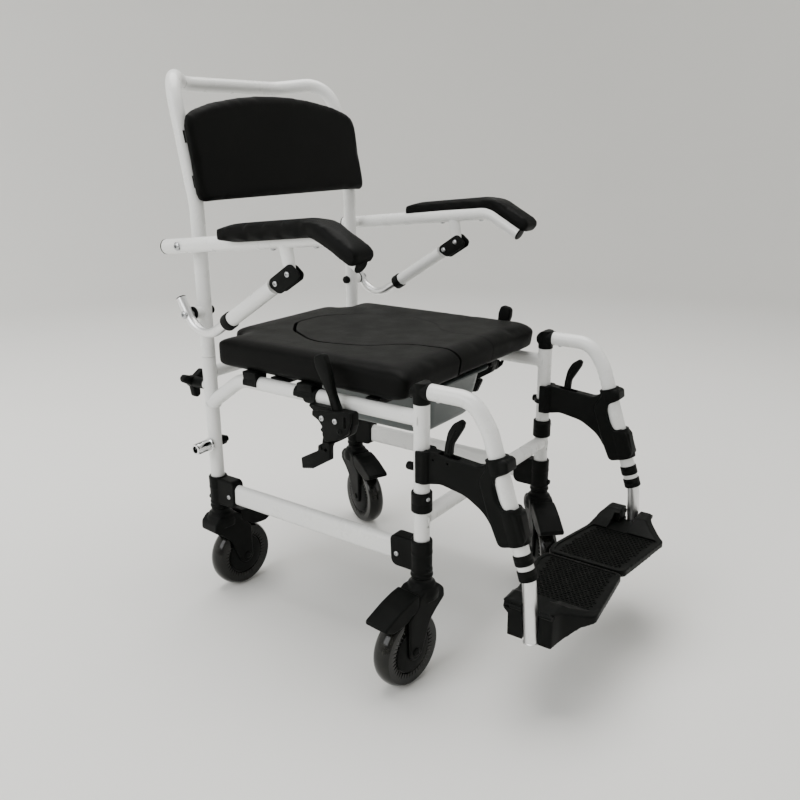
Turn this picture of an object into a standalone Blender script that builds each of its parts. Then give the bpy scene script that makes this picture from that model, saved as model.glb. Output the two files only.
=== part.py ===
# A commode transfer chair on casters, built as separate named pieces.
# Metres, +Z up. The chair faces -Y and its own left side is +X.
# Every piece of one side is built on the right side (x below zero) and copied over to the left.

import math

import bmesh
import bpy
from mathutils import Matrix, Vector

for leftover in list(bpy.data.objects):
    bpy.data.objects.remove(leftover, do_unlink=True)

# The chair is laid out about the middle of its four posts. These two numbers then move it
# so that the middle of its bounding box stands on the origin.
SHIFT_X = 0.01821
SHIFT_Y = 0.06670

GAP = 0.0003

# Main tubes and where the four posts stand.
TUBE = 0.0127
POST_X = 0.2073
POST_Y = 0.2323
POST_FOOT = 0.205
FRONT_POST_TOP = 0.4635
REAR_POST_TOP = 0.470
SEAT_RAIL_Z = 0.4395
LOWER_RAIL_Z = 0.211

# Casters: wheel, trail behind the swivel axis, and the way each trail points in the photo.
WHEEL_R = 0.0635
WHEEL_W = 0.033
TRAIL = 0.0394
CASTERS = (
    ("rear_right", -1, 1, -5.2),
    ("front_right", -1, -1, 172.9),
    ("rear_left", 1, 1, -114.0),
    ("front_left", 1, -1, -138.7),
)

# Arm rests and their struts.
ARM_X = 0.243
ARM_PIVOT = (0.233, 0.6713)
ROD_PIVOT = (0.2345, 0.553)
STRUT_PIVOT = (-0.0114, 0.6441)
STRUT_BOLT = (0.015, 0.6271)
STRUT_SLOPE = math.radians(-32.5)
STRUT_LENGTH = 0.1496

# Leg rests.
HANGER_Z = 0.4845
HANGER_END = (-0.4095, 0.262)
HANGER_DOWN = Vector((0.0, -0.312, -0.950)).normalized()
PLATE_HINGE_Z = 0.177

# Wheel locks.
LOCK_PIVOT = (-0.105, 0.405)
SHOE_PIVOT = (-0.058, 0.366)
SHOE_RATIO = 0.7

chair = bpy.data.collections.new("commode_transfer_chair")
tools = bpy.data.collections.new("cutters")
bpy.context.scene.collection.children.link(chair)
bpy.context.scene.collection.children.link(tools)

root = bpy.data.objects.new("chair_root", None)
root.location = (SHIFT_X, SHIFT_Y, 0.0)
chair.objects.link(root)


def material(name, colour, roughness, metallic=0.0):
    made = bpy.data.materials.new(name)
    made.use_nodes = True
    shader = made.node_tree.nodes["Principled BSDF"]
    shader.inputs["Base Color"].default_value = (*colour, 1.0)
    shader.inputs["Roughness"].default_value = roughness
    shader.inputs["Metallic"].default_value = metallic
    made.diffuse_color = (*colour, 1.0)
    return made


WHITE = material("white_powder_coat", (0.82, 0.82, 0.80), 0.30)
BLACK = material("black_moulded_nylon", (0.018, 0.018, 0.020), 0.45)
FOAM = material("black_skinned_foam", (0.030, 0.030, 0.031), 0.60)
TYRE = material("black_wheel", (0.025, 0.025, 0.028), 0.30)
BARE = material("bare_aluminium", (0.62, 0.62, 0.62), 0.28, 1.0)
PAN_GREY = material("blue_grey_pan", (0.30, 0.34, 0.36), 0.35)


# Small tools that make and change meshes.


def put(mesh, name="work"):
    made = bpy.data.objects.new(name, mesh)
    tools.objects.link(made)
    return made


def drop(thing):
    bpy.data.objects.remove(thing, do_unlink=True)


def tidy(mesh, distance=0.00001):
    work = bmesh.new()
    work.from_mesh(mesh)
    bmesh.ops.remove_doubles(work, verts=work.verts, dist=distance)
    bmesh.ops.dissolve_degenerate(work, edges=work.edges, dist=distance)
    bmesh.ops.recalc_face_normals(work, faces=work.faces)
    work.to_mesh(mesh)
    work.free()


def bake(thing):
    bpy.context.view_layer.update()
    ready = thing.evaluated_get(bpy.context.evaluated_depsgraph_get())
    mesh = bpy.data.meshes.new_from_object(ready)
    mesh.transform(thing.matrix_world)
    tidy(mesh)
    drop(thing)
    return put(mesh)


def soften(thing, width, segments=2, angle=35.0):
    bevel = thing.modifiers.new("softened", "BEVEL")
    bevel.width = width
    bevel.segments = segments
    bevel.limit_method = "ANGLE"
    bevel.angle_limit = math.radians(angle)
    bevel.use_clamp_overlap = True
    return bake(thing)


def combine(body, others, operation):
    for index, other in enumerate(others):
        step = body.modifiers.new(f"{operation.lower()}_{index}", "BOOLEAN")
        step.object = other
        step.operation = operation
        step.solver = "EXACT"
    made = bake(body)
    for other in others:
        drop(other)
    return made


def join(body, *others):
    return combine(body, others, "UNION")


def cut(body, *others):
    return combine(body, others, "DIFFERENCE")


def fillet(before, corner, after, radius, steps):
    to_before = before - corner
    to_after = after - corner
    angle = to_before.angle(to_after)
    if radius < 0.0001 or angle > 3.12:
        return [corner.copy()]
    reach = radius / math.tan(angle / 2)
    reach = min(reach, 0.49 * to_before.length, 0.49 * to_after.length)
    radius = reach * math.tan(angle / 2)
    start = corner + to_before.normalized() * reach
    end = corner + to_after.normalized() * reach
    middle = (to_before.normalized() + to_after.normalized()).normalized()
    centre = corner + middle * radius / math.sin(angle / 2)
    return [centre + (start.lerp(end, k / steps) - centre).normalized() * radius for k in range(steps + 1)]


def rounded(points, radii, steps=4, closed=False):
    corners = [Vector(p) if len(p) == 3 else Vector((p[0], p[1], 0.0)) for p in points]
    count = len(corners)
    if not hasattr(radii, "__len__"):
        radii = [radii] * count
    made = []
    for index, corner in enumerate(corners):
        if not closed and index in (0, count - 1):
            made.append(corner)
            continue
        before = corners[index - 1]
        after = corners[(index + 1) % count]
        made.extend(fillet(before, corner, after, radii[index], steps))
    return made


def tube(points, radius, resolution=4):
    curve = bpy.data.curves.new("run", "CURVE")
    curve.dimensions = "3D"
    spline = curve.splines.new("POLY")
    spline.points.add(len(points) - 1)
    for slot, point in zip(spline.points, points):
        slot.co = (*point, 1.0)
    curve.bevel_depth = radius
    curve.bevel_resolution = resolution
    curve.use_fill_caps = True
    return bake(put(curve))


PLANES = {
    "XY": Matrix(((1, 0, 0, 0), (0, 1, 0, 0), (0, 0, 1, 0), (0, 0, 0, 1))),
    "YZ": Matrix(((0, 0, 1, 0), (1, 0, 0, 0), (0, 1, 0, 0), (0, 0, 0, 1))),
    "XZ": Matrix(((1, 0, 0, 0), (0, 0, -1, 0), (0, 1, 0, 0), (0, 0, 0, 1))),
}


def slab(points, low, high, plane="YZ"):
    """A flat outline given thickness. For XZ the thickness runs along -Y."""
    curve = bpy.data.curves.new("outline", "CURVE")
    curve.dimensions = "2D"
    curve.fill_mode = "BOTH"
    curve.extrude = (high - low) / 2
    spline = curve.splines.new("POLY")
    spline.points.add(len(points) - 1)
    for slot, point in zip(spline.points, points):
        slot.co = (point[0], point[1], 0.0, 1.0)
    spline.use_cyclic_u = True
    made = put(curve)
    made.matrix_world = PLANES[plane] @ Matrix.Translation((0, 0, (low + high) / 2))
    return bake(made)


def rod(start, end, radius, sides=12, end_radius=None):
    start = Vector(start)
    end = Vector(end)
    along = end - start
    work = bmesh.new()
    bmesh.ops.create_cone(
        work,
        cap_ends=True,
        segments=sides,
        radius1=radius,
        radius2=radius if end_radius is None else end_radius,
        depth=along.length,
    )
    turn = Vector((0, 0, 1)).rotation_difference(along.normalized()).to_matrix().to_4x4()
    bmesh.ops.transform(work, matrix=Matrix.Translation((start + end) / 2) @ turn, verts=work.verts)
    mesh = bpy.data.meshes.new("rod")
    work.to_mesh(mesh)
    work.free()
    return put(mesh)


def block(x0, x1, y0, y1, z0, z1):
    work = bmesh.new()
    bmesh.ops.create_cube(work, size=1.0)
    for vert in work.verts:
        vert.co.x = x0 if vert.co.x < 0 else x1
        vert.co.y = y0 if vert.co.y < 0 else y1
        vert.co.z = z0 if vert.co.z < 0 else z1
    mesh = bpy.data.meshes.new("block")
    work.to_mesh(mesh)
    work.free()
    return put(mesh)


def turned(profile, steps=24):
    """A closed outline of (radius, height) spun about Z."""
    mesh = bpy.data.meshes.new("profile")
    verts = [(r, 0.0, z) for r, z in profile]
    edges = [(k, (k + 1) % len(verts)) for k in range(len(verts))]
    mesh.from_pydata(verts, edges, [])
    made = put(mesh)
    screw = made.modifiers.new("spun", "SCREW")
    screw.axis = "Z"
    screw.angle = math.tau
    screw.steps = steps
    screw.render_steps = steps
    screw.use_merge_vertices = True
    screw.merge_threshold = 0.00001
    return bake(made)


def loft(rings):
    """Rings of equal length joined one to the next, with the first and last closed."""
    count = len(rings[0])
    verts = [tuple(point) for ring in rings for point in ring]
    faces = []
    for level in range(len(rings) - 1):
        for k in range(count):
            a = level * count + k
            b = level * count + (k + 1) % count
            faces.append((a, b, b + count, a + count))
    faces.append(tuple(range(count - 1, -1, -1)))
    faces.append(tuple(range(len(verts) - count, len(verts))))
    mesh = bpy.data.meshes.new("loft")
    mesh.from_pydata(verts, [], faces)
    tidy(mesh)
    return put(mesh)


def moved(thing, matrix):
    thing.data.transform(matrix)
    return thing


def template(thing):
    """Keeps only the mesh of a piece that is placed several times, cut into triangles."""
    mesh = thing.data
    work = bmesh.new()
    work.from_mesh(mesh)
    bmesh.ops.triangulate(work, faces=work.faces)
    work.to_mesh(mesh)
    work.free()
    drop(thing)
    return mesh


def mirrored(mesh, axis=0):
    copy = mesh.copy()
    flip = [1.0, 1.0, 1.0]
    flip[axis] = -1.0
    copy.transform(Matrix.Diagonal((*flip, 1.0)))
    copy.flip_normals()
    return copy


def finish(thing, name, look, origin=(0.0, 0.0, 0.0), smooth=40.0):
    """Names a piece, puts its origin on its joint and hangs it on the root."""
    mesh = thing.data
    if thing.name in bpy.data.objects:
        drop(thing)
    mesh.transform(Matrix.Translation(-Vector(origin)))
    return place(mesh, name, look, origin, 0.0, smooth)


def place(mesh, name, look, location, turn=0.0, smooth=40.0):
    mesh.name = name
    mesh.materials.clear()
    mesh.materials.append(look)
    for face in mesh.polygons:
        face.use_smooth = True
    mesh.set_sharp_from_angle(angle=math.radians(smooth))
    made = bpy.data.objects.new(name, mesh)
    made.location = location
    made.rotation_euler = (0.0, 0.0, turn)
    made.parent = root
    chair.objects.link(made)
    return made


def both(thing, stem, look, origin=(0.0, 0.0, 0.0), smooth=40.0):
    """The right piece and its mirror image on the left."""
    right = finish(thing, f"{stem}_right", look, origin, smooth)
    across = (-origin[0], origin[1], origin[2])
    left = place(mirrored(right.data), f"{stem}_left", look, across, 0.0, smooth)
    return right, left


def up(x, y, low, high, radius, sides=12):
    return rod((x, y, low), (x, y, high), radius, sides)


def across(y, z, x0, x1, radius, sides=12):
    return rod((x0, y, z), (x1, y, z), radius, sides)


# Main frame.

RX = -POST_X

# Side frame: two posts, the seat rail that drops into the rear post, and the stop collar.
front_post = up(RX, -POST_Y, POST_FOOT, FRONT_POST_TOP, TUBE)
rear_post = up(RX, POST_Y, POST_FOOT, REAR_POST_TOP, TUBE)
rail_run = rounded(
    [(RX, -POST_Y, SEAT_RAIL_Z), (RX, 0.150, SEAT_RAIL_Z), (RX, POST_Y, 0.382)],
    [0, 0.050, 0],
)
stop_collar = up(RX, -POST_Y, 0.289, 0.322, 0.0163)
side = join(tube(rail_run, TUBE - 0.0002), front_post, rear_post, stop_collar)
side = cut(
    side,
    up(RX, -POST_Y, 0.435, 0.480, 0.0103),
    up(RX, POST_Y, 0.372, 0.490, 0.0111),
    across(POST_Y, 0.3045, RX - 0.03, RX + 0.03, 0.0069, 12),
    rod((RX, POST_Y, 0.4155), (RX, POST_Y + 0.03, 0.4155), 0.0034, 8),
)
both(side, "side_frame", WHITE)

# Front and rear cross tubes, coped against the posts.


def cross_tube(y, z, radius, name):
    body = across(y, z, RX, -RX, radius, 16)
    copes = []
    for sign in (-1, 1):
        copes.append(up(sign * POST_X, y, z - 0.04, z + 0.04, TUBE + GAP))
        if y < 0:
            copes.append(up(sign * POST_X, y, 0.289 - GAP, 0.34, 0.0163 + GAP))
    finish(cut(body, *copes), name, WHITE, (0.0, y, z))


cross_tube(-POST_Y, 0.2815, TUBE, "front_cross_tube")
cross_tube(POST_Y, 0.440, 0.0111, "rear_cross_tube")

# Lower rail: flat oval tube between the two caster brackets of one side.
oval = rounded(
    [(RX - 0.009, 0.192), (RX + 0.009, 0.192), (RX + 0.009, 0.230), (RX - 0.009, 0.230)],
    0.0088,
    2,
    closed=True,
)
lower = slab(oval, -0.2170, 0.2170, "XZ")
lower = cut(
    lower,
    across(-0.192, 0.207, RX - 0.02, RX + 0.02, 0.0033, 8),
    across(0.192, 0.207, RX - 0.02, RX + 0.02, 0.0033, 8),
)
both(lower, "lower_rail", WHITE)

# Caster bracket: sleeve on the foot of the post and an arm that holds the lower rail.
sleeve = up(RX, -POST_Y, 0.176, 0.238, 0.0170)
arm_outline = rounded(
    [(-POST_Y, 0.186), (-0.180, 0.188), (-0.178, 0.237), (-POST_Y, 0.237)],
    [0, 0.010, 0.006, 0],
    2,
    closed=True,
)
bracket = slab(arm_outline, RX - 0.0125, RX + 0.0125)
bracket = join(bracket, sleeve)
socket = rounded(
    [
        (RX - 0.0093, 0.1917),
        (RX + 0.0093, 0.1917),
        (RX + 0.0093, 0.2303),
        (RX - 0.0093, 0.2303),
    ],
    0.0091,
    2,
    closed=True,
)
bracket = cut(
    bracket,
    slab(socket, 0.160, 0.2174, "XZ"),
    up(RX, -POST_Y, POST_FOOT - GAP, 0.30, TUBE + GAP),
    up(RX, -POST_Y, 0.15, 0.200, 0.0065, 8),
)
bracket = join(
    bracket,
    across(-0.192, 0.207, RX - 0.0158, RX + 0.0115, 0.0029, 6),
    across(-0.192, 0.207, RX - 0.0158, RX - 0.0120, 0.0060, 6),
)
bracket = template(bracket)
for name, sx, sy, _ in CASTERS:
    mesh = bracket.copy()
    if sy > 0:
        mesh = mirrored(mesh, 1)
    if sx > 0:
        mesh = mirrored(mesh, 0)
    place(mesh, f"caster_bracket_{name}", BLACK, (0.0, 0.0, 0.0))

# Casters, built once about the swivel axis with the trail along +X.

AXLE = (TRAIL, 0.0, WHEEL_R)
fork_outline = rounded(
    [
        (-0.018, 0.1700),
        (-0.026, 0.150),
        (-0.024, 0.125),
        (-0.014, 0.104),
        (0.022, 0.056),
        (0.0394, 0.0435),
        (0.0560, 0.060),
        (0.0700, 0.104),
        (0.0660, 0.124),
        (0.0370, 0.131),
        (0.0320, 0.150),
        (0.0180, 0.1700),
    ],
    [0.006, 0.0, 0.0, 0.02, 0.0, 0.012, 0.0, 0.01, 0.008, 0.01, 0.0, 0.006],
    1,
    closed=True,
)
fork = slab(fork_outline, -0.0228, 0.0228, "XZ")
fork = cut(
    fork,
    rod((TRAIL, -0.0185, WHEEL_R), (TRAIL, 0.0185, WHEEL_R), WHEEL_R + 0.0046, 16),
    block(-0.05, 0.12, -0.0184, 0.0184, 0.02, 0.118),
)
lug = slab(
    rounded([(0.024, 0.1400), (0.049, 0.1430), (0.049, 0.1570), (0.024, 0.1585)], 0.005, 1, True),
    -0.008,
    0.008,
    "XZ",
)
fork = join(
    fork,
    up(0.0, 0.0, 0.160, 0.1752, 0.0158),
    up(0.0, 0.0, 0.165, 0.197, 0.0060, 6),
    rod((TRAIL, -0.0262, WHEEL_R), (TRAIL, 0.0262, WHEEL_R), 0.0040, 6),
    rod((TRAIL, -0.0262, WHEEL_R), (TRAIL, -0.0222, WHEEL_R), 0.0068, 6),
    rod((TRAIL, 0.0262, WHEEL_R), (TRAIL, 0.0222, WHEEL_R), 0.0068, 6),
    lug,
    rod((0.042, -0.0175, 0.150), (0.042, 0.0175, 0.150), 0.0030, 6),
)
fork = template(fork)

wheel_half = WHEEL_W / 2
tread = []
for k in range(4):
    angle = math.radians(-60 + 40 * k)
    drop_in = 0.012 * (math.cos(math.radians(20)) - math.cos(angle))
    tread.append((WHEEL_R - drop_in, wheel_half * math.sin(angle) / math.sin(math.radians(60))))
side_profile = [(0.0400, 0.0125), (0.0150, 0.0172), (0.0044, 0.0172)]
wheel_profile = (
    [(r, z) for r, z in reversed(tread)]
    + [(r, -z) for r, z in side_profile]
    + [(r, z) for r, z in reversed(side_profile)]
)
wheel = turned(wheel_profile, 20)
wheel = template(moved(wheel, Matrix.Rotation(math.radians(90), 4, "X")))

pedal_outline = rounded(
    [
        (0.0378, 0.1450),
        (0.0378, 0.1560),
        (0.0560, 0.161),
        (0.0880, 0.148),
        (0.1120, 0.131),
        (0.1100, 0.123),
        (0.0850, 0.130),
        (0.0600, 0.137),
        (0.0420, 0.1420),
    ],
    [0.003, 0.003, 0.02, 0.02, 0.003, 0.003, 0.02, 0.01, 0.003],
    1,
    closed=True,
)
pedal = slab(pedal_outline, -0.0200, 0.0200, "XZ")
pedal = cut(
    pedal,
    block(0.02, 0.0530, -0.0084, 0.0084, 0.12, 0.18),
    rod((0.042, -0.0180, 0.150), (0.042, 0.0180, 0.150), 0.0035, 8),
)
PEDAL_PIVOT = Vector((0.042, 0.0, 0.150))
pedal = template(moved(pedal, Matrix.Translation(-PEDAL_PIVOT)))

for name, sx, sy, heading in CASTERS:
    turn = math.radians(heading)
    spin = Matrix.Rotation(turn, 4, "Z")
    corner = Vector((sx * POST_X, sy * POST_Y, 0.0))
    place(fork.copy(), f"caster_fork_{name}", BLACK, corner, turn)
    place(wheel.copy(), f"caster_wheel_{name}", TYRE, corner + spin @ Vector(AXLE), turn)
    place(pedal.copy(), f"brake_pedal_{name}", BLACK, corner + spin @ PEDAL_PIVOT, turn)

# Back frame, backrest and hardware on the rear posts.

bar = rounded(
    [
        (RX, POST_Y, REAR_POST_TOP + GAP),
        (RX, POST_Y, 0.735),
        (RX, 0.2742, 0.951),
        (-0.118, 0.347, 0.939),
        (0.118, 0.347, 0.939),
        (-RX, 0.2742, 0.951),
        (-RX, POST_Y, 0.735),
        (-RX, POST_Y, REAR_POST_TOP + GAP),
    ],
    [0, 0.10, 0.060, 0.050, 0.050, 0.060, 0.10, 0],
    3,
)
back = tube(bar, TUBE)
hardware = []
for sign in (-1, 1):
    x = sign * POST_X
    hardware.append(up(x, POST_Y, 0.3745, 0.480, 0.0103))
    arm = sign * ARM_X
    # Arm pivot: spacer, pin through the arm tube and the bolt head outside it.
    hardware.append(across(*ARM_PIVOT, x, arm - sign * (TUBE + GAP), 0.0090, 12))
    hardware.append(across(*ARM_PIVOT, x, arm + sign * 0.0170, 0.0040, 6))
    hardware.append(across(*ARM_PIVOT, arm + sign * (TUBE + GAP), arm + sign * 0.0172, 0.0072, 6))
    # Rod pivot: wide washer, pin and head, and the nut cap inside the upright.
    hardware.append(across(*ROD_PIVOT, x, arm - sign * (0.009 + GAP), 0.0125, 12))
    hardware.append(across(*ROD_PIVOT, x, arm + sign * 0.0130, 0.0040, 6))
    hardware.append(across(*ROD_PIVOT, arm + sign * (0.009 + GAP), arm + sign * 0.0132, 0.0070, 6))
    hardware.append(across(*ROD_PIVOT, x - sign * 0.0170, x, 0.0078, 6))
back = join(back, *hardware)
finish(back, "back_frame", WHITE, (0.0, POST_Y, REAR_POST_TOP))

# Backrest pad with four saddle blocks that sit against the uprights.
PAD_HALF = 0.0100
PAD_SIDE = 0.2286
top_half = [
    (PAD_SIDE, 0.868),
    (0.2240, 0.885),
    (0.2040, 0.897),
    (0.163, 0.9095),
    (0.100, 0.9195),
    (0.050, 0.9242),
]
pad_points = [(-PAD_SIDE, 0.735), (PAD_SIDE, 0.735)] + top_half + [(0.0, 0.9255)]
pad_points += [(-x, z) for x, z in reversed(top_half)]
top_radii = [0.02, 0.03, 0.06, 0.05, 0.05, 0.05]
pad_radii = [0.012, 0.012] + top_radii + [0.05] + top_radii[::-1]
pad_outline = rounded(pad_points, pad_radii, 1, closed=True)
pad = soften(slab(pad_outline, -PAD_HALF, PAD_HALF, "XZ"), 0.0050, 1, 50)
PAD_LEAN = 0.170


def pad_middle(z):
    return 0.2085 + PAD_LEAN * (z - 0.740)


for vert in pad.data.vertices:
    vert.co.y += pad_middle(vert.co.z)
saddles = []
for sign in (-1, 1):
    for z in (0.775, 0.848):
        near = pad_middle(z) + 0.004
        far = POST_Y + (z - 0.735) * 0.194 - 0.004
        x = sign * POST_X
        saddles.append(block(x - 0.0115, x + 0.0115, near, far, z - 0.013, z + 0.013))
pad = join(pad, *saddles)
pad = cut(pad, tube(bar, TUBE + GAP))
finish(pad, "backrest_pad", FOAM, (0.0, 0.2185, 0.735))

# Three-lobed knob behind each rear post, with its threaded end in the post wall.
KNOB_Z = 0.4155
LOBES = (35.0, 155.0, 275.0)
star = []
for lobe in LOBES:
    for turn, reach in ((-60.0, 0.0105), (-14.0, 0.0280), (0.0, 0.0315), (14.0, 0.0280)):
        angle = math.radians(lobe + turn)
        star.append((reach * math.cos(angle), reach * math.sin(angle)))
star_outline = rounded(star, [0.006, 0.005, 0.008, 0.005] * 3, 1, closed=True)
star_outline = [(RX + point[0], KNOB_Z + point[1]) for point in star_outline]
knob = soften(slab(star_outline, -0.2850, -0.2710, "XZ"), 0.0022, 1, 50)
knob = join(
    knob,
    rod((RX, 0.2460, KNOB_Z), (RX, 0.2730, KNOB_Z), 0.0095, 12, 0.0080),
    rod((RX, 0.2437, KNOB_Z), (RX, 0.2500, KNOB_Z), 0.0031, 6),
)
both(knob, "wing_knob", BLACK, (RX, POST_Y, KNOB_Z))

# Axle sleeve through each rear post, open on the outside for a large wheel.
AXLE_Z = 0.3045
sleeve = join(
    across(POST_Y, AXLE_Z, RX - 0.0497, RX - 0.0132, 0.0110),
    across(POST_Y, AXLE_Z, RX - 0.0300, RX + 0.0280, 0.0065, 12),
    across(POST_Y, AXLE_Z, RX + 0.0131, RX + 0.0290, 0.0082, 6),
)
sleeve = cut(sleeve, across(POST_Y, AXLE_Z, RX - 0.0600, RX - 0.0240, 0.0065, 12))
both(sleeve, "axle_sleeve", BARE, (RX, POST_Y, AXLE_Z))

# Arm rests.

AX = -ARM_X
ARM_BACK = (AX, 0.275, 0.667)
ARM_BEND = (AX, -0.085, 0.704)
ARM_TIP = (AX, -0.150, 0.668)
arm_run = rounded([ARM_BACK, ARM_BEND, ARM_TIP], [0, 0.060, 0], 4)
ARM_PAST = Vector(ARM_TIP) + (Vector(ARM_TIP) - Vector(ARM_BEND)).normalized() * 0.0006
pad_run = arm_run[:-1] + [ARM_PAST]
arm = tube(arm_run, TUBE)
arm = join(arm, rod((AX, -0.0045, 0.690), (AX, -0.0127, 0.6365), 0.0113, 16))
arm = cut(
    arm,
    across(*ARM_PIVOT, AX - 0.02, AX + 0.02, 0.0045, 8),
    across(*STRUT_PIVOT, AX - 0.02, AX + 0.02, 0.0035, 8),
)
both(arm, "arm_tube", WHITE, (AX, *ARM_PIVOT))

pad_side = rounded(
    [
        (0.1120, 0.6868),
        (-0.0840, 0.7070),
        (-0.1600, 0.6645),
        (-0.1770, 0.6830),
        (-0.1660, 0.6975),
        (-0.1010, 0.7355),
        (0.0900, 0.7165),
        (0.1120, 0.7060),
    ],
    [0.001, 0.060, 0.004, 0.010, 0.020, 0.050, 0.030, 0.010],
    1,
    closed=True,
)
arm_pad = soften(slab(pad_side, -0.2840, -0.2290), 0.0060, 1, 50)
arm_pad = cut(arm_pad, tube(pad_run, TUBE + GAP))
both(arm_pad, "arm_pad", FOAM, (AX, *ARM_PIVOT))

# Strut: joint plates and upper tube hang from the arm; the bent rod turns on the upright.
AXIS = Vector((0.0, math.cos(STRUT_SLOPE), math.sin(STRUT_SLOPE)))
BOLT = Vector((AX, *STRUT_BOLT))


def on_strut(distance):
    return BOLT + AXIS * distance


upper = join(
    rod(on_strut(-0.012), on_strut(STRUT_LENGTH - 0.002), TUBE, 12),
    rod(on_strut(STRUT_LENGTH - 0.018), on_strut(STRUT_LENGTH), 0.0146, 12),
)
upper = cut(
    upper,
    rod(on_strut(0.018), on_strut(STRUT_LENGTH + 0.02), 0.0119, 12),
    across(*STRUT_BOLT, AX - 0.02, AX + 0.02, 0.0035, 8),
)
both(upper, "strut_tube", WHITE, (AX, *STRUT_PIVOT))

plate_outline = rounded(
    [
        (0.025, 0.633),
        (-0.019, 0.660),
        (-0.039, 0.647),
        (-0.038, 0.640),
        (-0.008, 0.619),
        (0.024, 0.622),
    ],
    [0.006, 0.010, 0.006, 0.006, 0.008, 0.006],
    1,
    closed=True,
)
joint = join(
    slab(plate_outline, AX - 0.0160, AX - 0.0131),
    slab(plate_outline, AX + 0.0131, AX + 0.0160),
    across(*STRUT_PIVOT, AX - 0.0180, AX + 0.0150, 0.0030, 6),
    across(*STRUT_BOLT, AX - 0.0180, AX + 0.0150, 0.0030, 6),
    across(*STRUT_PIVOT, AX - 0.0182, AX - 0.0150, 0.0058, 6),
    across(*STRUT_BOLT, AX - 0.0182, AX - 0.0150, 0.0058, 6),
)
both(joint, "strut_joint", BLACK, (AX, *STRUT_PIVOT))

lower_end = Vector((AX, *ROD_PIVOT)) + Vector((0.0, 0.517, 0.856)) * 0.031
# The rod starts a little to one side of the tube's bore, so that it stays inside it all the way up.
ASIDE = Vector((0.0, -AXIS.z, AXIS.y)) * 0.00125
rod_run = rounded([on_strut(0.026) + ASIDE, (AX, 0.2064, 0.5066), lower_end], [0, 0.050, 0], 6)
strut_rod = cut(tube(rod_run, 0.0087, 3), across(*ROD_PIVOT, AX - 0.02, AX + 0.02, 0.0045, 8))
both(strut_rod, "strut_rod", BARE, (AX, *ROD_PIVOT))

# Leg rests, turning about the front posts.

SWING = (RX, -POST_Y, FRONT_POST_TOP)
ELBOW_BACK = -POST_Y + 0.0131
ELBOW_TOP = HANGER_Z + 0.0129
elbow_side = rounded(
    [
        (ELBOW_BACK, FRONT_POST_TOP + GAP),
        (ELBOW_BACK, ELBOW_TOP),
        (-0.2490, ELBOW_TOP),
        (-0.2490, FRONT_POST_TOP + GAP),
    ],
    [0.0, 0.0200, 0.0, 0.0],
    4,
    closed=True,
)
elbow = join(
    rod((RX, -POST_Y, FRONT_POST_TOP - 0.010), (RX, -POST_Y, ELBOW_TOP + 0.010), 0.0136),
    rod((RX, ELBOW_BACK + 0.010, HANGER_Z), (RX, -0.2590, HANGER_Z), 0.0134),
)
elbow = combine(elbow, [slab(elbow_side, RX - 0.02, RX + 0.02)], "INTERSECT")
elbow = join(
    elbow,
    up(RX, -POST_Y, 0.4370, 0.4700, 0.0099),
    rod((RX, -0.2400, HANGER_Z), (RX, -0.2620, HANGER_Z), 0.0099),
)
both(elbow, "hanger_elbow", BLACK, SWING)

hanger_run = rounded(
    [
        (RX, -0.2493, HANGER_Z),
        (RX, -0.3225, HANGER_Z),
        (RX, -0.3500, 0.443),
        (RX, *HANGER_END),
    ],
    [0, 0.045, 0.080, 0],
    4,
)
hanger = tube(hanger_run, TUBE)
end = Vector((RX, *HANGER_END))
hanger = cut(
    hanger,
    rod((RX, -0.2400, HANGER_Z), (RX, -0.2640, HANGER_Z), 0.0105),
    rod(end + HANGER_DOWN * 0.01, end - HANGER_DOWN * 0.082, 0.0115),
)
both(hanger, "hanger_tube", WHITE, SWING)

web = rounded(
    [
        (-0.2280, 0.3850),
        (-0.2490, 0.3940),
        (-0.3370, 0.3885),
        (-0.3600, 0.4020),
        (-0.3760, 0.4110),
        (-0.3860, 0.4070),
        (-0.3880, 0.3930),
        (-0.3710, 0.3760),
        (-0.3705, 0.3640),
        (-0.3810, 0.3380),
        (-0.3900, 0.3320),
        (-0.4080, 0.3320),
        (-0.4180, 0.2930),
        (-0.3950, 0.2790),
        (-0.3750, 0.2730),
        (-0.3690, 0.2870),
        (-0.3500, 0.3180),
        (-0.3170, 0.3390),
        (-0.2640, 0.3460),
        (-0.2530, 0.3410),
        (-0.2300, 0.3410),
    ],
    [0, 0, 0.02, 0, 0.006, 0.006, 0, 0.006, 0, 0, 0.006, 0.006, 0.006, 0, 0.006, 0, 0.02, 0.02, 0, 0, 0],
    1,
    closed=True,
)
holder = slab(web, RX - 0.0095, RX + 0.0095)


def on_hanger(z):
    share = (z - HANGER_END[1]) / (0.443 - HANGER_END[1])
    return Vector((RX, HANGER_END[0] + share * (-0.3500 - HANGER_END[0]), z))


hook = up(RX, -POST_Y, 0.341, 0.394, 0.0185)
holder = join(
    holder,
    hook,
    rod(on_hanger(0.406), on_hanger(0.384), 0.0172, 12),
    rod(on_hanger(0.334), on_hanger(0.282), 0.0176, 12),
)
holder = cut(
    holder,
    tube(hanger_run, TUBE + GAP),
    up(RX, -POST_Y, 0.30, 0.42, TUBE + 0.0008),
    block(RX - 0.03, RX + 0.03, -POST_Y + 0.003, -0.18, 0.33, 0.40),
    block(RX - 0.0050, RX + 0.0050, -0.2980, -0.2680, 0.372, 0.42),
)
LEVER_PIVOT = (-0.2830, 0.3815)
holder = join(holder, across(*LEVER_PIVOT, RX - 0.0080, RX + 0.0080, 0.0030, 6))
both(holder, "hanger_bracket", BLACK, SWING)

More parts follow.
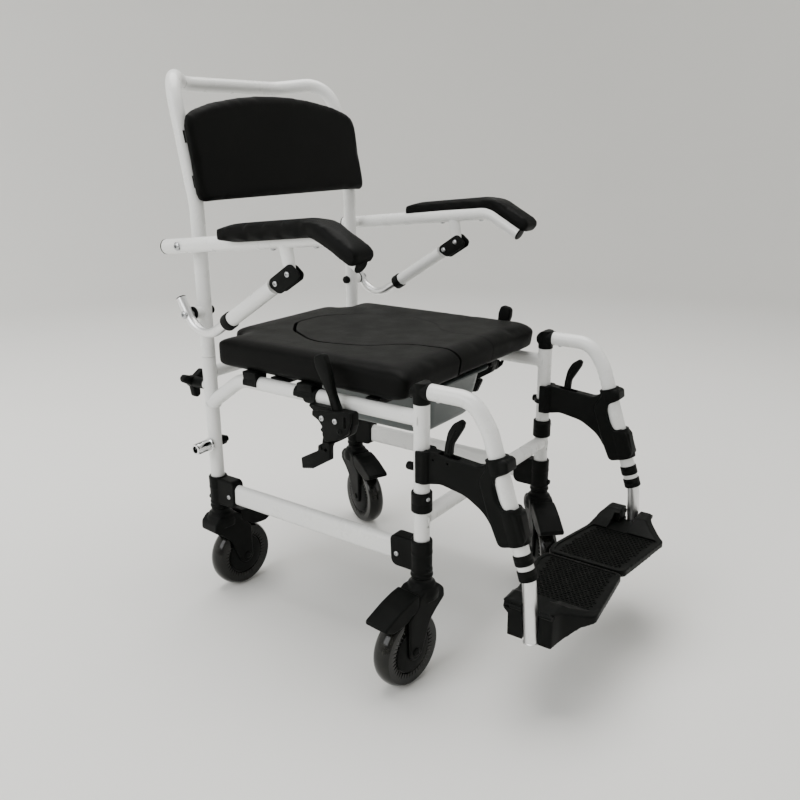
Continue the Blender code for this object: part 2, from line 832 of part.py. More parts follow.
lever_outline = rounded(
    [
        (-0.2770, 0.3750),
        (-0.2890, 0.3750),
        (-0.2905, 0.3950),
        (-0.2885, 0.4250),
        (-0.3060, 0.4470),
        (-0.3000, 0.4530),
        (-0.2790, 0.4320),
        (-0.2760, 0.3950),
    ],
    [0.005, 0.005, 0.0, 0.02, 0.004, 0.004, 0.02, 0.0],
    1,
    closed=True,
)
lever = slab(lever_outline, RX - 0.0045, RX + 0.0045)
lever = cut(lever, across(*LEVER_PIVOT, RX - 0.02, RX + 0.02, 0.0035, 8))
both(lever, "release_lever", BLACK, (RX, *LEVER_PIVOT))

PLATE_Y = -0.4248
inner_run = rounded(
    [end - HANGER_DOWN * 0.072, (RX, -0.4215, 0.2255), (RX, -0.4285, 0.125)],
    [0, 0.060, 0],
    4,
)
extension = cut(
    tube(inner_run, 0.0108),
    rod((RX, -0.38, PLATE_HINGE_Z), (RX, -0.47, PLATE_HINGE_Z), 0.0044, 12),
)
both(extension, "extension_tube", BARE, (RX, -0.4215, 0.2255))

# Footplate: flat tread with a deepening underside, two cheeks round the tube and a hinge pin.
tread_outline = rounded(
    [
        (-0.0060, -0.3550),
        (-0.0060, -0.4840),
        (-0.0300, -0.4920),
        (-0.1000, -0.4930),
        (-0.1600, -0.4760),
        (-0.1900, -0.4620),
        (-0.1930, -0.3800),
        (-0.1600, -0.3500),
        (-0.0250, -0.3500),
    ],
    [0.012, 0.010, 0.02, 0.05, 0.05, 0.004, 0.004, 0.03, 0.012],
    1,
    closed=True,
)
board = slab(tread_outline, 0.112, 0.164, "XY")
under_side = [
    (0.02, 0.05),
    (0.02, 0.152),
    (-0.030, 0.150),
    (-0.085, 0.124),
    (-0.180, 0.118),
    (-0.25, 0.116),
    (-0.25, 0.05),
]
under = slab(
    under_side,
    0.30,
    0.55,
    "XZ",
)
board = cut(board, under)
hollow_side = [(-0.022, 0.05), (-0.022, 0.146), (-0.180, 0.146), (-0.180, 0.05)]
hollow = slab(hollow_side, 0.372, 0.4100, "XZ")
hollow_front = slab(hollow_side, 0.4440, 0.4680, "XZ")
board = cut(board, hollow, hollow_front)
cheek_outline = rounded(
    [
        (-0.176, 0.114),
        (-0.212, 0.120),
        (-0.2200, 0.165),
        (-0.2170, 0.188),
        (-0.1960, 0.188),
        (-0.1760, 0.1635),
    ],
    [0.003, 0.010, 0.010, 0.010, 0.010, 0.002],
    1,
    closed=True,
)
board = join(
    board,
    slab(cheek_outline, 0.3870, 0.4650, "XZ"),
)
tube_room = slab([(-0.30, 0.09), (-0.1958, 0.09), (-0.1958, 0.20), (-0.30, 0.20)], 0.4126, 0.4398, "XZ")
flip_room = slab([(-0.30, 0.1645), (-0.15, 0.1645), (-0.15, 0.20), (-0.30, 0.20)], 0.4106, 0.4404, "XZ")
board = cut(board, tube_room, flip_room)
board = join(board, rod((RX, -0.4090, PLATE_HINGE_Z), (RX, -0.4430, PLATE_HINGE_Z), 0.0040, 12))
both(board, "footplate", BLACK, (RX, PLATE_Y, PLATE_HINGE_Z))

# Wheel locks on the seat rails.

lock_outline = rounded(
    [
        (-0.0010, 0.4330),
        (-0.0270, 0.4200),
        (-0.0430, 0.3970),
        (-0.0480, 0.3720),
        (-0.0500, 0.3590),
        (-0.0600, 0.3540),
        (-0.0680, 0.3600),
        (-0.0680, 0.3740),
        (-0.0930, 0.3880),
        (-0.1150, 0.3960),
        (-0.1180, 0.4120),
        (-0.1050, 0.4330),
    ],
    0.005,
    1,
    closed=True,
)
lock = slab(lock_outline, RX - 0.0240, RX - 0.0080)
lock = cut(lock, rod((RX, -0.20, SEAT_RAIL_Z), (RX, 0.10, SEAT_RAIL_Z), TUBE + 0.0008))
lock = join(
    lock,
    across(-0.050, 0.4130, RX - 0.0262, RX - 0.0220, 0.0048, 6),
    across(-0.076, 0.4130, RX - 0.0262, RX - 0.0220, 0.0048, 6),
    across(*LOCK_PIVOT, RX - 0.0400, RX - 0.0200, 0.0040, 6),
    across(*LOCK_PIVOT, RX - 0.0402, RX - 0.0373, 0.0070, 6),
    across(*SHOE_PIVOT, RX - 0.0370, RX - 0.0200, 0.0030, 6),
    across(*SHOE_PIVOT, RX - 0.0372, RX - 0.0353, 0.0050, 6),
)
both(lock, "lock_bracket", BLACK)

LEVER_REST = math.radians(24)
LEVER_FAR = math.radians(-9)


def lever_piece(lean, sign):
    """The hand lever, straight up from its pivot and then turned to its lean."""
    outline = rounded(
        [
            (-0.0110, -0.0100),
            (0.0110, -0.0100),
            (0.0090, 0.0300),
            (0.0070, 0.0600),
            (0.0110, 0.0700),
            (0.0120, 0.1220),
            (0.0070, 0.1290),
            (-0.0080, 0.1290),
            (-0.0120, 0.1220),
            (-0.0100, 0.0700),
            (-0.0070, 0.0600),
            (-0.0090, 0.0300),
        ],
        [0.009, 0.009, 0.02, 0.01, 0.006, 0.006, 0.006, 0.006, 0.006, 0.006, 0.01, 0.02],
        1,
        closed=True,
    )
    made = slab(outline, -0.0060, 0.0060)
    made = cut(made, rod((-0.02, 0, 0), (0.02, 0, 0), 0.0045, 8))
    made = moved(made, Matrix.Rotation(-lean, 4, "X"))
    home = Vector((sign * (POST_X + 0.0309), *LOCK_PIVOT))
    return moved(made, Matrix.Translation(home)), home


for word, sign, lean in (("right", -1, LEVER_REST), ("left", 1, LEVER_FAR)):
    piece, home = lever_piece(lean, sign)
    finish(piece, f"lock_lever_{word}", BLACK, home)

shoe_outline = rounded(
    [
        (-0.0660, 0.3700),
        (-0.0500, 0.3720),
        (-0.0440, 0.3560),
        (-0.0010, 0.3360),
        (-0.0020, 0.3150),
        (-0.0300, 0.3230),
        (-0.0560, 0.3440),
        (-0.0660, 0.3580),
    ],
    [0.007, 0.006, 0.006, 0.004, 0.004, 0.004, 0.01, 0.008],
    1,
    closed=True,
)
shoe = slab(shoe_outline, RX - 0.0349, RX - 0.0243)
shoe = cut(shoe, across(*SHOE_PIVOT, RX - 0.05, RX, 0.0035, 8))
# The left lock stands in its other position, so its shoe is turned with its lever.
right_shoe = finish(shoe, "lock_shoe_right", BLACK, (RX - 0.0296, *SHOE_PIVOT))
left_shoe = mirrored(right_shoe.data)
left_shoe.transform(Matrix.Rotation(SHOE_RATIO * (LEVER_REST - LEVER_FAR), 4, "X"))
place(left_shoe, "lock_shoe_left", BLACK, (POST_X + 0.0296, *SHOE_PIVOT))

# Seat, cover, pan and its carrier.

KEY = [
    (0.0560, -0.1250),
    (0.0660, -0.0900),
    (0.1100, -0.0500),
    (0.1330, 0.0300),
    (0.1280, 0.0620),
    (0.0900, 0.1330),
    (0.0370, 0.1760),
]
KEY_RADII = [0.02, 0.03, 0.05, 0.05, 0.05, 0.06, 0.04]


def keyhole(inset, front):
    """The keyhole outline, drawn in by a chosen amount and open or closed at the front."""
    right = [(x - inset, y - (inset if y > 0.1 else 0.0)) for x, y in KEY]
    left = [(-x, y) for x, y in reversed(right)]
    points = [(right[0][0], front)] + right + left + [(left[-1][0], front)]
    radii = [0.0] + KEY_RADII + KEY_RADII[::-1] + [0.0]
    return rounded(points, radii, 1, closed=True)


SEAT_LOW = 0.4565
SEAT_TOP = 0.5050
seat_plan = rounded(
    [
        (-0.2150, -0.2150),
        (0.2150, -0.2150),
        (0.2150, 0.2050),
        (0.1560, 0.2060),
        (0.1450, 0.2500),
        (-0.1450, 0.2500),
        (-0.1560, 0.2060),
        (-0.2150, 0.2050),
    ],
    [0.022, 0.022, 0.018, 0.020, 0.030, 0.030, 0.020, 0.018],
    2,
    closed=True,
)
seat = soften(slab(seat_plan, SEAT_LOW, SEAT_TOP, "XY"), 0.0090, 1, 50)


def waterfall(thing):
    """Lets the front of the seat roll down and tuck under, as a cushion edge does."""
    for vert in thing.data.vertices:
        run = max(0.0, -0.168 - vert.co.y) / 0.047
        high = (vert.co.z - SEAT_LOW) / (SEAT_TOP - SEAT_LOW)
        vert.co.z -= 0.012 * run * run * high
        vert.co.y += 0.016 * min(run, 1.0) * (1.0 - high)
        rear = max(0.0, vert.co.y - 0.195) / 0.055
        vert.co.z += 0.009 * min(rear, 1.0) * (1.0 - high)


bands = [-0.2060, -0.1900, -0.1700]


def sliced(thing, planes):
    """Adds edge rings across the piece so that its front can bend."""
    work = bmesh.new()
    work.from_mesh(thing.data)
    for y in planes:
        everything = list(work.verts) + list(work.edges) + list(work.faces)
        bmesh.ops.bisect_plane(work, geom=everything, plane_co=(0, y, 0), plane_no=(0, 1, 0))
    work.to_mesh(thing.data)
    work.free()
    return thing


cover_body = slab(seat_plan, SEAT_LOW, SEAT_TOP, "XY")
cover_body = soften(cover_body, 0.0090, 1, 50)
LEDGE_Z = 0.4655
seat = cut(
    seat,
    slab(keyhole(0.0, -0.30), LEDGE_Z, 0.60, "XY"),
    slab(keyhole(0.008, -0.30), 0.40, 0.60, "XY"),
)
plug = slab(keyhole(0.0008, -0.30), LEDGE_Z + GAP, 0.60, "XY")
cover = combine(cover_body, [plug], "INTERSECT")
seat = sliced(seat, bands)
cover = sliced(cover, bands)
waterfall(seat)
waterfall(cover)
tidy(seat.data)
tidy(cover.data)

clips = []
for sign in (-1, 1):
    for y0, y1 in ((0.103, 0.135), (-0.025, 0.009)):
        clip = block(sign * POST_X - 0.0160, sign * POST_X + 0.0160, y0, y1, 0.4335, SEAT_LOW + 0.004)
        x = sign * POST_X
        clip = cut(
            clip,
            rod((x, y0 - 0.01, SEAT_RAIL_Z), (x, y1 + 0.01, SEAT_RAIL_Z), TUBE + 0.0008),
            block(x - 0.0130, x + 0.0130, y0 - 0.01, y1 + 0.01, 0.42, SEAT_RAIL_Z),
        )
        clips.append(clip)
seat = join(seat, *clips)
finish(seat, "seat_pad", FOAM, (0.0, 0.0, SEAT_LOW))
finish(cover, "seat_cover", FOAM, (0.0, 0.0, LEDGE_Z))


def box_ring(half, y0, y1, corner, z):
    points = [(-half, y0), (half, y0), (half, y1), (-half, y1)]
    return [(p[0], p[1], z) for p in rounded(points, corner, 2, closed=True)]


PAN_RIM = 0.4470
outer = [
    box_ring(0.1080, -0.1800, 0.0600, 0.030, 0.3560),
    box_ring(0.1150, -0.1880, 0.0670, 0.034, 0.3610),
    box_ring(0.1240, -0.1990, 0.0790, 0.036, 0.4100),
    box_ring(0.1280, -0.2040, 0.0840, 0.036, 0.4430),
    box_ring(0.1385, -0.2150, 0.0950, 0.040, 0.4430),
    box_ring(0.1385, -0.2150, 0.0950, 0.040, PAN_RIM),
    box_ring(0.1255, -0.2015, 0.0815, 0.034, PAN_RIM),
    box_ring(0.1215, -0.1965, 0.0765, 0.034, 0.4100),
    box_ring(0.1125, -0.1855, 0.0645, 0.032, 0.3640),
    box_ring(0.1060, -0.1780, 0.0580, 0.028, 0.3590),
]
pan = loft(outer)
finish(pan, "commode_pan", PAN_GREY, (0.0, -0.060, PAN_RIM))

# Carrier: two channels that hold the rim of the pan, a bar behind it, and hooks on the rails.
carrier = block(-0.1520, 0.1520, 0.1200, 0.1450, 0.4390, 0.4520)
parts = []
for sign in (-1, 1):
    low, high = sorted((sign * 0.1330, sign * 0.1520))
    parts.append(block(low, high, -0.2050, 0.1300, 0.4385, 0.4525))
    for y0, y1 in ((-0.1750, -0.1500), (0.0550, 0.0800)):
        low, high = sorted((sign * 0.1500, sign * POST_X))
        parts.append(block(low, high, y0, y1, 0.4440, 0.4556))
carrier = join(carrier, *parts)
gone = []
for sign in (-1, 1):
    low, high = sorted((sign * 0.1200, sign * 0.1389))
    gone.append(block(low, high, -0.25, 0.1100, 0.4426, 0.4474))
    x = sign * POST_X
    gone.append(rod((x, -0.25, SEAT_RAIL_Z), (x, 0.14, SEAT_RAIL_Z), TUBE + 0.0008))
carrier = cut(carrier, *gone)
finish(carrier, "pan_carrier", BLACK, (0.0, 0.0, 0.445))

for mesh in [m for m in bpy.data.meshes if m.users == 0]:
    bpy.data.meshes.remove(mesh)
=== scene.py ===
# %% [markdown]
# A commode transfer chair on four casters. Its white frame is bent and welded aluminium tube with
# powder coat, the fittings are black moulded nylon, the pads are foam with a tough moulded skin,
# and a blue-grey pan hangs on a carrier below the seat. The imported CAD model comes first. It says
# where every piece stands and what it moves with, and each piece made here takes its place.

# %% Load the frame
import math

import bmesh
import bpy
from mathutils import Matrix, Vector


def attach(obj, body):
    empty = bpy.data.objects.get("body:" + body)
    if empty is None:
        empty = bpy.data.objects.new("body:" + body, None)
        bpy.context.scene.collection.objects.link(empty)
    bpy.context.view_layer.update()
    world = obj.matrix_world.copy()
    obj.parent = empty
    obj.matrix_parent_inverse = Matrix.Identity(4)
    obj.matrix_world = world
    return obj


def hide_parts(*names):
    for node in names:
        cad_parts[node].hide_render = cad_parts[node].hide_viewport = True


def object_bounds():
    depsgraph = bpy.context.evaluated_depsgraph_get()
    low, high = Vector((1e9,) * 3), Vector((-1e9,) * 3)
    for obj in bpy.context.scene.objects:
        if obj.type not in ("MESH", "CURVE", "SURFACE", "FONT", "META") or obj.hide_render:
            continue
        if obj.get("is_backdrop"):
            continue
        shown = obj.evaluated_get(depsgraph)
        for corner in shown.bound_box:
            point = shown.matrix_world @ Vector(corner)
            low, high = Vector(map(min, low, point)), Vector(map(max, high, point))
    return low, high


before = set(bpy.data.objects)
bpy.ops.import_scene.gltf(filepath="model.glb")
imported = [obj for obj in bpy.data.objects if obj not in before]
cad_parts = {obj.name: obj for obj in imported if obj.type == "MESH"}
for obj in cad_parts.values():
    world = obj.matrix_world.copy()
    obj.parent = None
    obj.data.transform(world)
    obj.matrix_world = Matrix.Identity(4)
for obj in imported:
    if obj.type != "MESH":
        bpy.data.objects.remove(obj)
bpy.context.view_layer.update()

# %% [markdown]
# The chair was measured about the middle of its four posts: it faces -Y, its own left is +X, and
# the floor is at zero. The CAD box stands a little to one side of that, so every finished piece
# is moved by one small shift at the end.

# %% Driving dimensions
SHIFT = Vector((0.01821, 0.0667, 0.0))
FOAM_FILL = 0.85
TUBE = 0.0127
POST_X = 0.2073
POST_Y = 0.2323
POST_FOOT = 0.205
FRONT_POST_TOP = 0.4635
REAR_POST_TOP = 0.47
SEAT_RAIL_Z = 0.4395
RX = -POST_X
SIDES = ("right", "left")
CORNERS = (
    ("rear_right", -1, 1, -5.2), ("front_right", -1, -1, 172.9), ("rear_left", 1, 1, -114.0),
    ("front_left", 1, -1, -138.7),
)
print("posts stand", 2 * POST_X, "by", 2 * POST_Y, "m apart")

# %% [markdown]
# The camera stands where the photographer stood: a little above the arm pads, to the right of the
# chair and in front of it. The lens was found from the straight lines of the frame.

# %% Camera
IMAGE = 800
FOCAL_PIXELS = 832.83
SENSOR = 36.0
lens_data = bpy.data.cameras.new("studio_camera")
lens_data.sensor_width = SENSOR
lens_data.lens = FOCAL_PIXELS / IMAGE * SENSOR
camera = bpy.data.objects.new("studio_camera", lens_data)
bpy.context.scene.collection.objects.link(camera)
azimuth = math.radians(-54.283)
elevation = math.radians(17.514)
roll = math.radians(-0.472)
flat = math.cos(elevation)
back = Vector((math.sin(azimuth) * flat, -math.cos(azimuth) * flat, math.sin(elevation)))
camera.location = Vector((-1.18959, -0.89857, 0.84409)) + SHIFT
camera.rotation_mode = "QUATERNION"
level = (-back).to_track_quat("-Z", "Y")
camera.rotation_quaternion = level @ Matrix.Rotation(roll, 3, "Z").to_quaternion()
lens_data.clip_start = 0.02
lens_data.clip_end = 60.0
bpy.context.scene.camera = camera
print("camera at", tuple(round(value, 3) for value in camera.location), "lens", round(lens_data.lens, 2))

# %% [markdown]
# Shader maths reads best as plain Python. The small class below holds one output of a node, and
# its operators add Math nodes, so 1 - mask * 0.3 becomes two nodes without a word about links.
# Each sign also has its reflected form, for a plain number that stands on the left.

# %% A socket that can be calculated with


class Wire:
    """One output of a node, ready for arithmetic."""

    def __init__(self, finish, socket):
        self.finish = finish
        self.socket = socket

    def maths(self, operation, first, second):
        return self.finish.node("ShaderNodeMath", {"operation": operation}, {0: first, 1: second})

    def __add__(self, other):
        return self.maths("ADD", self, other)

    def __radd__(self, other):
        return self.maths("ADD", other, self)

    def __sub__(self, other):
        return self.maths("SUBTRACT", self, other)

    def __rsub__(self, other):
        return self.maths("SUBTRACT", other, self)

    def __mul__(self, other):
        return self.maths("MULTIPLY", self, other)

    def __rmul__(self, other):
        return self.maths("MULTIPLY", other, self)


print("Wire adds Math nodes for plus, minus and times")

# %% [markdown]
# A finish is one material. Its node method takes a node's type, its settings and its inputs, and
# a few short methods name what the real surfaces need: grain, cells, drawn lines and a blend of
# two colours. All patterns read object coordinates, which are metres here, so a scale of 1000
# means a pattern about a millimetre wide.

# %% A finish and its patterns


class Finish:
    """A material built from the Principled shader."""

    def __init__(self, name, **constants):
        self.material = bpy.data.materials.new(name)
        self.material.use_nodes = True
        self.tree = self.material.node_tree
        self.shader = self.tree.nodes["Principled BSDF"]
        for key, value in constants.items():
            self.shader.inputs[key.replace("_", " ").title().replace("Ior", "IOR")].default_value = value
        self.place = self.node("ShaderNodeTexCoord", output="Object")

    def node(self, kind, settings=None, sockets=None, output=0):
        made = self.tree.nodes.new(kind)
        for key, value in (settings or {}).items():
            if key == "stops":
                ramp = made.color_ramp.elements
                while len(ramp) < len(value):
                    ramp.new(0.5)
                for element, (position, shade) in zip(ramp, value):
                    element.position = position
                    element.color = (shade, shade, shade, 1.0)
            else:
                setattr(made, key, value)
        for key, value in (sockets or {}).items():
            if isinstance(value, Wire):
                self.tree.links.new(value.socket, made.inputs[key])
            else:
                made.inputs[key].default_value = value
        return Wire(self, made.outputs[output])

    def stretched(self, x, y, z):
        return self.node("ShaderNodeMapping", None, {"Vector": self.place, "Scale": (x, y, z)})

    def grain(self, scale, detail=3.0, rough=0.5, at=None):
        sockets = {"Vector": at or self.place, "Scale": scale, "Detail": detail, "Roughness": rough}
        return self.node("ShaderNodeTexNoise", None, sockets)

    def cells(self, scale, feature="F1"):
        sockets = {"Vector": self.place, "Scale": scale}
        return self.node("ShaderNodeTexVoronoi", {"feature": feature}, sockets)

    def ramp(self, value, *stops):
        return self.node("ShaderNodeValToRGB", {"stops": stops}, {"Fac": value})

    def blend(self, factor, first, second):
        settings = {"data_type": "RGBA", "clamp_factor": True}
        first = first if isinstance(first, Wire) else (*first, 1.0)
        second = second if isinstance(second, Wire) else (*second, 1.0)
        return self.node("ShaderNodeMix", settings, {0: factor, 6: first, 7: second}, output=2)

    def bump(self, height, strength, distance, under=None):
        sockets = {"Height": height, "Strength": strength, "Distance": distance}
        if under is not None:
            sockets["Normal"] = under
        return self.node("ShaderNodeBump", None, sockets)

    def wear(self, **surface):
        for key, value in surface.items():
            name = key.replace("_", " ").title()
            self.tree.links.new(value.socket, self.shader.inputs[name])
        return self.material


print("Finish is ready")

# %% [markdown]
# White powder coat is sprayed dry and melted, so it flows into a skin with a faint orange peel:
# soft dimples about two millimetres apart. It is slightly glossy, a touch warmer where the film
# is thin, and here and there it carries a dull smear from hands and cleaning.

# %% White powder coat
coat = Finish("white_powder_coat", coat_weight=0.25, coat_roughness=0.12, specular_ior_level=0.5)
peel = coat.grain(520.0, 2.0, 0.45)
fine = coat.grain(2300.0, 2.0, 0.6)
cloud = coat.grain(7.0, 4.0, 0.6)
specks = coat.ramp(coat.grain(900.0, 1.0, 0.5), (0.3, 1.0), (0.36, 0.0))
tone = coat.blend(cloud, (0.72, 0.725, 0.713), (0.798, 0.803, 0.791))
tone = coat.blend(specks * 0.22, tone, (0.52, 0.5, 0.46))
dull = coat.ramp(coat.grain(24.0, 5.0, 0.65), (0.42, 0.0), (0.72, 1.0))
normal = coat.bump(peel, 0.2, 0.00035)
normal = coat.bump(fine, 0.06, 0.00008, normal)
WHITE = coat.wear(base_color=tone, roughness=dull * 0.16 + 0.27, normal=normal)
print("made", WHITE.name)

# %% [markdown]
# Black nylon fittings come out of an eroded steel mould, which leaves a fine pitted texture and
# a soft, dull shine. Handling polishes broad patches, and a little grey dust stays in the pits.

# %% Black moulded nylon
nylon = Finish("black_moulded_nylon", specular_ior_level=0.07)
pits = nylon.cells(1500.0)
grit = nylon.grain(2600.0, 3.0, 0.6)
broad = nylon.grain(38.0, 4.0, 0.6)
tone = nylon.blend(broad, (0.002, 0.0025, 0.0023), (0.0048, 0.0053, 0.0048))
dust = nylon.ramp(nylon.grain(210.0, 5.0, 0.7), (0.6, 0.0), (0.8, 1.0))
tone = nylon.blend(dust * 0.3, tone, (0.022, 0.021, 0.019))
polish = nylon.ramp(broad, (0.35, 0.0), (0.7, 1.0))
normal = nylon.bump(pits, 0.22, 0.00016)
normal = nylon.bump(grit, 0.12, 0.0001, normal)
NYLON = nylon.wear(base_color=tone, roughness=0.5 - polish * 0.12, normal=normal)
print("made", NYLON.name)

# %% [markdown]
# The pads are foam poured into a mould that has been sprayed with lacquer. The lacquer becomes a
# tight leathery skin: small flat islands between fine creases, over a surface that is never
# quite even. From a low angle it picks up a broad grey sheen.

# %% Black skinned foam
skin = Finish("black_skinned_foam", specular_ior_level=0.06)
warp = skin.grain(160.0, 2.0, 0.5)
islands = skin.cells(820.0, "DISTANCE_TO_EDGE")
creases = skin.ramp(islands, (0.0, 0.0), (0.16, 1.0))
uneven = skin.grain(26.0, 3.0, 0.5)
tone = skin.blend(uneven, (0.0014, 0.0017, 0.0015), (0.0036, 0.0039, 0.0033))
tone = skin.blend(1.0 - creases, tone, (0.0035, 0.0036, 0.0036))
normal = skin.bump(uneven, 0.3, 0.0016)
normal = skin.bump(creases, 0.2, 0.00012, normal)
normal = skin.bump(warp, 0.14, 0.0004, normal)
FOAM = skin.wear(base_color=tone, roughness=uneven * 0.18 + 0.36 + (1.0 - creases) * 0.08, normal=normal)
print("made", FOAM.name)

# %% [markdown]
# The wheels have a clear-looking polyurethane tread cast over a dark core. It is glossy and olive
# grey, and the floor leaves fine dull scuffs round the rolling face. Lighter cloudy streaks are
# painted into its colour: partly the swirl where the two parts of the resin met, partly painted
# reflection.

# %% Cast wheel tread
tread = Finish("cast_polyurethane_tread", specular_ior_level=0.2, coat_weight=0.16, coat_roughness=0.05)
swirl = tread.node(
    "ShaderNodeTexNoise",
    None,
    {"Vector": tread.place, "Scale": 36.0, "Detail": 4.0, "Roughness": 0.55, "Distortion": 1.8},
)
streak_and_reflection = tread.ramp(swirl, (0.4, 0.0), (0.62, 1.0))
scuff = tread.ramp(tread.grain(330.0, 4.0, 0.7), (0.55, 0.0), (0.75, 1.0))
# The lighter streaks in this colour are partly resin swirl and partly painted reflection.
tone = tread.blend(streak_and_reflection, (0.0024, 0.0026, 0.0022), (0.0085, 0.0088, 0.007))
tone = tread.blend(scuff * 0.25, tone, (0.02, 0.02, 0.017))
normal = tread.bump(swirl, 0.1, 0.0008)
TREAD = tread.wear(base_color=tone, roughness=scuff * 0.25 + 0.14, normal=normal)
print("made", TREAD.name)

# %% [markdown]
# Bare aluminium tube is drawn through a die, which leaves fine lines along it. They are noise
# stretched almost flat in one direction, and they shift the roughness far more than the colour.

# %% Bare drawn aluminium
metal = Finish("bare_drawn_aluminium", metallic=1.0)
lines = metal.grain(1.0, 3.0, 0.6, metal.stretched(2600.0, 2600.0, 60.0))
marks = metal.ramp(metal.grain(75.0, 5.0, 0.65), (0.5, 0.0), (0.74, 1.0))
tone = metal.blend(lines, (0.7, 0.705, 0.71), (0.84, 0.84, 0.835))
tone = metal.blend(marks * 0.3, tone, (0.58, 0.58, 0.575))
normal = metal.bump(lines, 0.16, 0.00006)
ALUMINIUM = metal.wear(base_color=tone, roughness=lines * 0.14 + 0.27 + marks * 0.12, normal=normal)
print("made", ALUMINIUM.name)

# %% [markdown]
# Screws and bolt heads are steel with a thin zinc coat: bright, slightly blue and a little
# patchy. The axle bushes are polished and chromed, so they stay mirror bright between smears.

# %% Zinc and chrome
zinc = Finish("zinc_plated_steel", metallic=1.0)
spangle = zinc.cells(900.0)
rub = zinc.grain(300.0, 4.0, 0.7)
tone = zinc.blend(rub, (0.34, 0.35, 0.36), (0.62, 0.63, 0.64))
normal = zinc.bump(spangle, 0.1, 0.00006)
ZINC = zinc.wear(base_color=tone, roughness=rub * 0.26 + 0.16, normal=normal)
chrome = Finish("polished_chrome", metallic=1.0)
smear = chrome.ramp(chrome.grain(60.0, 5.0, 0.7), (0.48, 0.0), (0.72, 1.0))
scratch = chrome.grain(1.0, 2.0, 0.5, chrome.stretched(90.0, 2400.0, 2400.0))
tone = chrome.blend(smear, (0.86, 0.865, 0.87), (0.66, 0.66, 0.65))
normal = chrome.bump(scratch, 0.06, 0.00004)
CHROME = chrome.wear(base_color=tone, roughness=smear * 0.22 + 0.06, normal=normal)
print("made", ZINC.name, "and", CHROME.name)

# %% [markdown]
# The pan is blown polypropylene in blue-grey. It is evenly coloured but not flat: the wall is
# thinner at the corners, the mould gave it a satin texture, and wiping leaves faint streaks.

# %% Pan plastic
pan = Finish("blue_grey_polypropylene", specular_ior_level=0.4)
cloud = pan.grain(9.0, 3.0, 0.5)
satin = pan.cells(1300.0)
wipe = pan.grain(1.0, 3.0, 0.6, pan.stretched(14.0, 90.0, 14.0))
tone = pan.blend(cloud, (0.068, 0.08, 0.079), (0.09, 0.103, 0.102))
normal = pan.bump(satin, 0.16, 0.00012)
PAN = pan.wear(base_color=tone, roughness=wipe * 0.18 + 0.3, normal=normal)
print("made", PAN.name)

# %% [markdown]
# Almost every plastic or metal plate on the chair starts the same way: an outline is drawn with
# a filled circle whose corners are put in place, and extruded. Real corners are never sharp, so
# a small helper rounds them first, each with its own radius.

# %% Outlines and edit mode


def corner_arc(before, corner, after, radius, steps):
    to_before = before - corner
    to_after = after - corner
    if radius < 0.0001 or to_before.angle(to_after) > 3.12:
        return [corner.copy()]
    half = to_before.angle(to_after) / 2
    reach = min(radius / math.tan(half), 0.49 * to_before.length, 0.49 * to_after.length)
    radius = reach * math.tan(half)
    start = corner + to_before.normalized() * reach
    end = corner + to_after.normalized() * reach
    middle = (to_before.normalized() + to_after.normalized()).normalized()
    centre = corner + middle * radius / math.sin(half)
    return [
        centre + (start.lerp(end, k / steps) - centre).normalized() * radius for k in range(steps + 1)
    ]


def rounded(points, radii, steps=6):
    corners = [Vector((a, b, 0.0)) for a, b in points]
    if not hasattr(radii, "__len__"):
        radii = [radii] * len(corners)
    made = []
    for index, corner in enumerate(corners):
        after = corners[(index + 1) % len(corners)]
        made.extend(corner_arc(corners[index - 1], corner, after, radii[index], steps))
    return [(point.x, point.y) for point in made]


def pick(thing, *others):
    bpy.ops.object.select_all(action="DESELECT")
    for chosen in (*others, thing):
        chosen.select_set(True)
    bpy.context.view_layer.objects.active = thing


def all_of_it():
    bpy.ops.mesh.select_all(action="SELECT")


def edit(thing, mode="FACE"):
    """Edit mode on one object, with nothing in it selected."""
    pick(thing)
    bpy.ops.object.mode_set(mode="EDIT")
    bpy.ops.mesh.select_mode(type=mode)
    bpy.ops.mesh.select_all(action="DESELECT")


def choose_edges(thing, test):
    """Selects the edges whose two ends pass a test."""
    for line in bmesh.from_edit_mesh(thing.data).edges:
        if test(line.verts[0].co, line.verts[1].co):
            line.select_set(True)
    bmesh.update_edit_mesh(thing.data)


def oblong(a0, a1, b0, b1):
    """The four corners of a rectangle."""
    return [(a0, b0), (a1, b0), (a1, b1), (a0, b1)]


def leave_edit():
    all_of_it()
    bpy.ops.mesh.normals_make_consistent(inside=False)
    bpy.ops.object.mode_set(mode="OBJECT")


print("outline and edit-mode helpers are ready")

# %% [markdown]
# A plate is one outline extruded to its thickness with both rims bevelled. A lathe part is half
# of its section spun a full turn. A bent tube is a circle pushed along each straight run and
# spun round the centre of each bend, as the tube bender does it.

# %% Plate, lathe and bent tube
ORDER = {"XY": (0, 1, 2), "YZ": (1, 2, 0), "XZ": (0, 2, 1)}
SAME_POINT = 0.000005


def new_ring(count, radius=1.0, fill="NGON"):
    """A circle of points to start from; its points are often moved to an outline."""
    bpy.ops.object.select_all(action="DESELECT")
    bpy.ops.mesh.primitive_circle_add(vertices=count, radius=radius, fill_type=fill)
    return bpy.context.object


def extrude(push):
    bpy.ops.mesh.extrude_region_move(TRANSFORM_OT_translate={"value": push})


def plate(points, low, high, plane="YZ", rim=0.0, segments=3):
    thing = new_ring(len(points))
    first, second, third = ORDER[plane]
    for corner, point in zip(thing.data.vertices, points):
        corner.co[first] = point[0]
        corner.co[second] = point[1]
        corner.co[third] = low
    push = Vector((0.0, 0.0, 0.0))
    push[third] = high - low
    edit(thing)
    all_of_it()
    extrude(push)
    if rim:
        bpy.ops.mesh.select_mode(type="EDGE")
        bpy.ops.mesh.select_all(action="DESELECT")
        choose_edges(thing, lambda a, b: abs(a[third] - b[third]) < 0.5 * (high - low))
        bpy.ops.mesh.bevel(offset=rim, segments=segments, profile=0.5, clamp_overlap=True)
    leave_edit()
    return thing


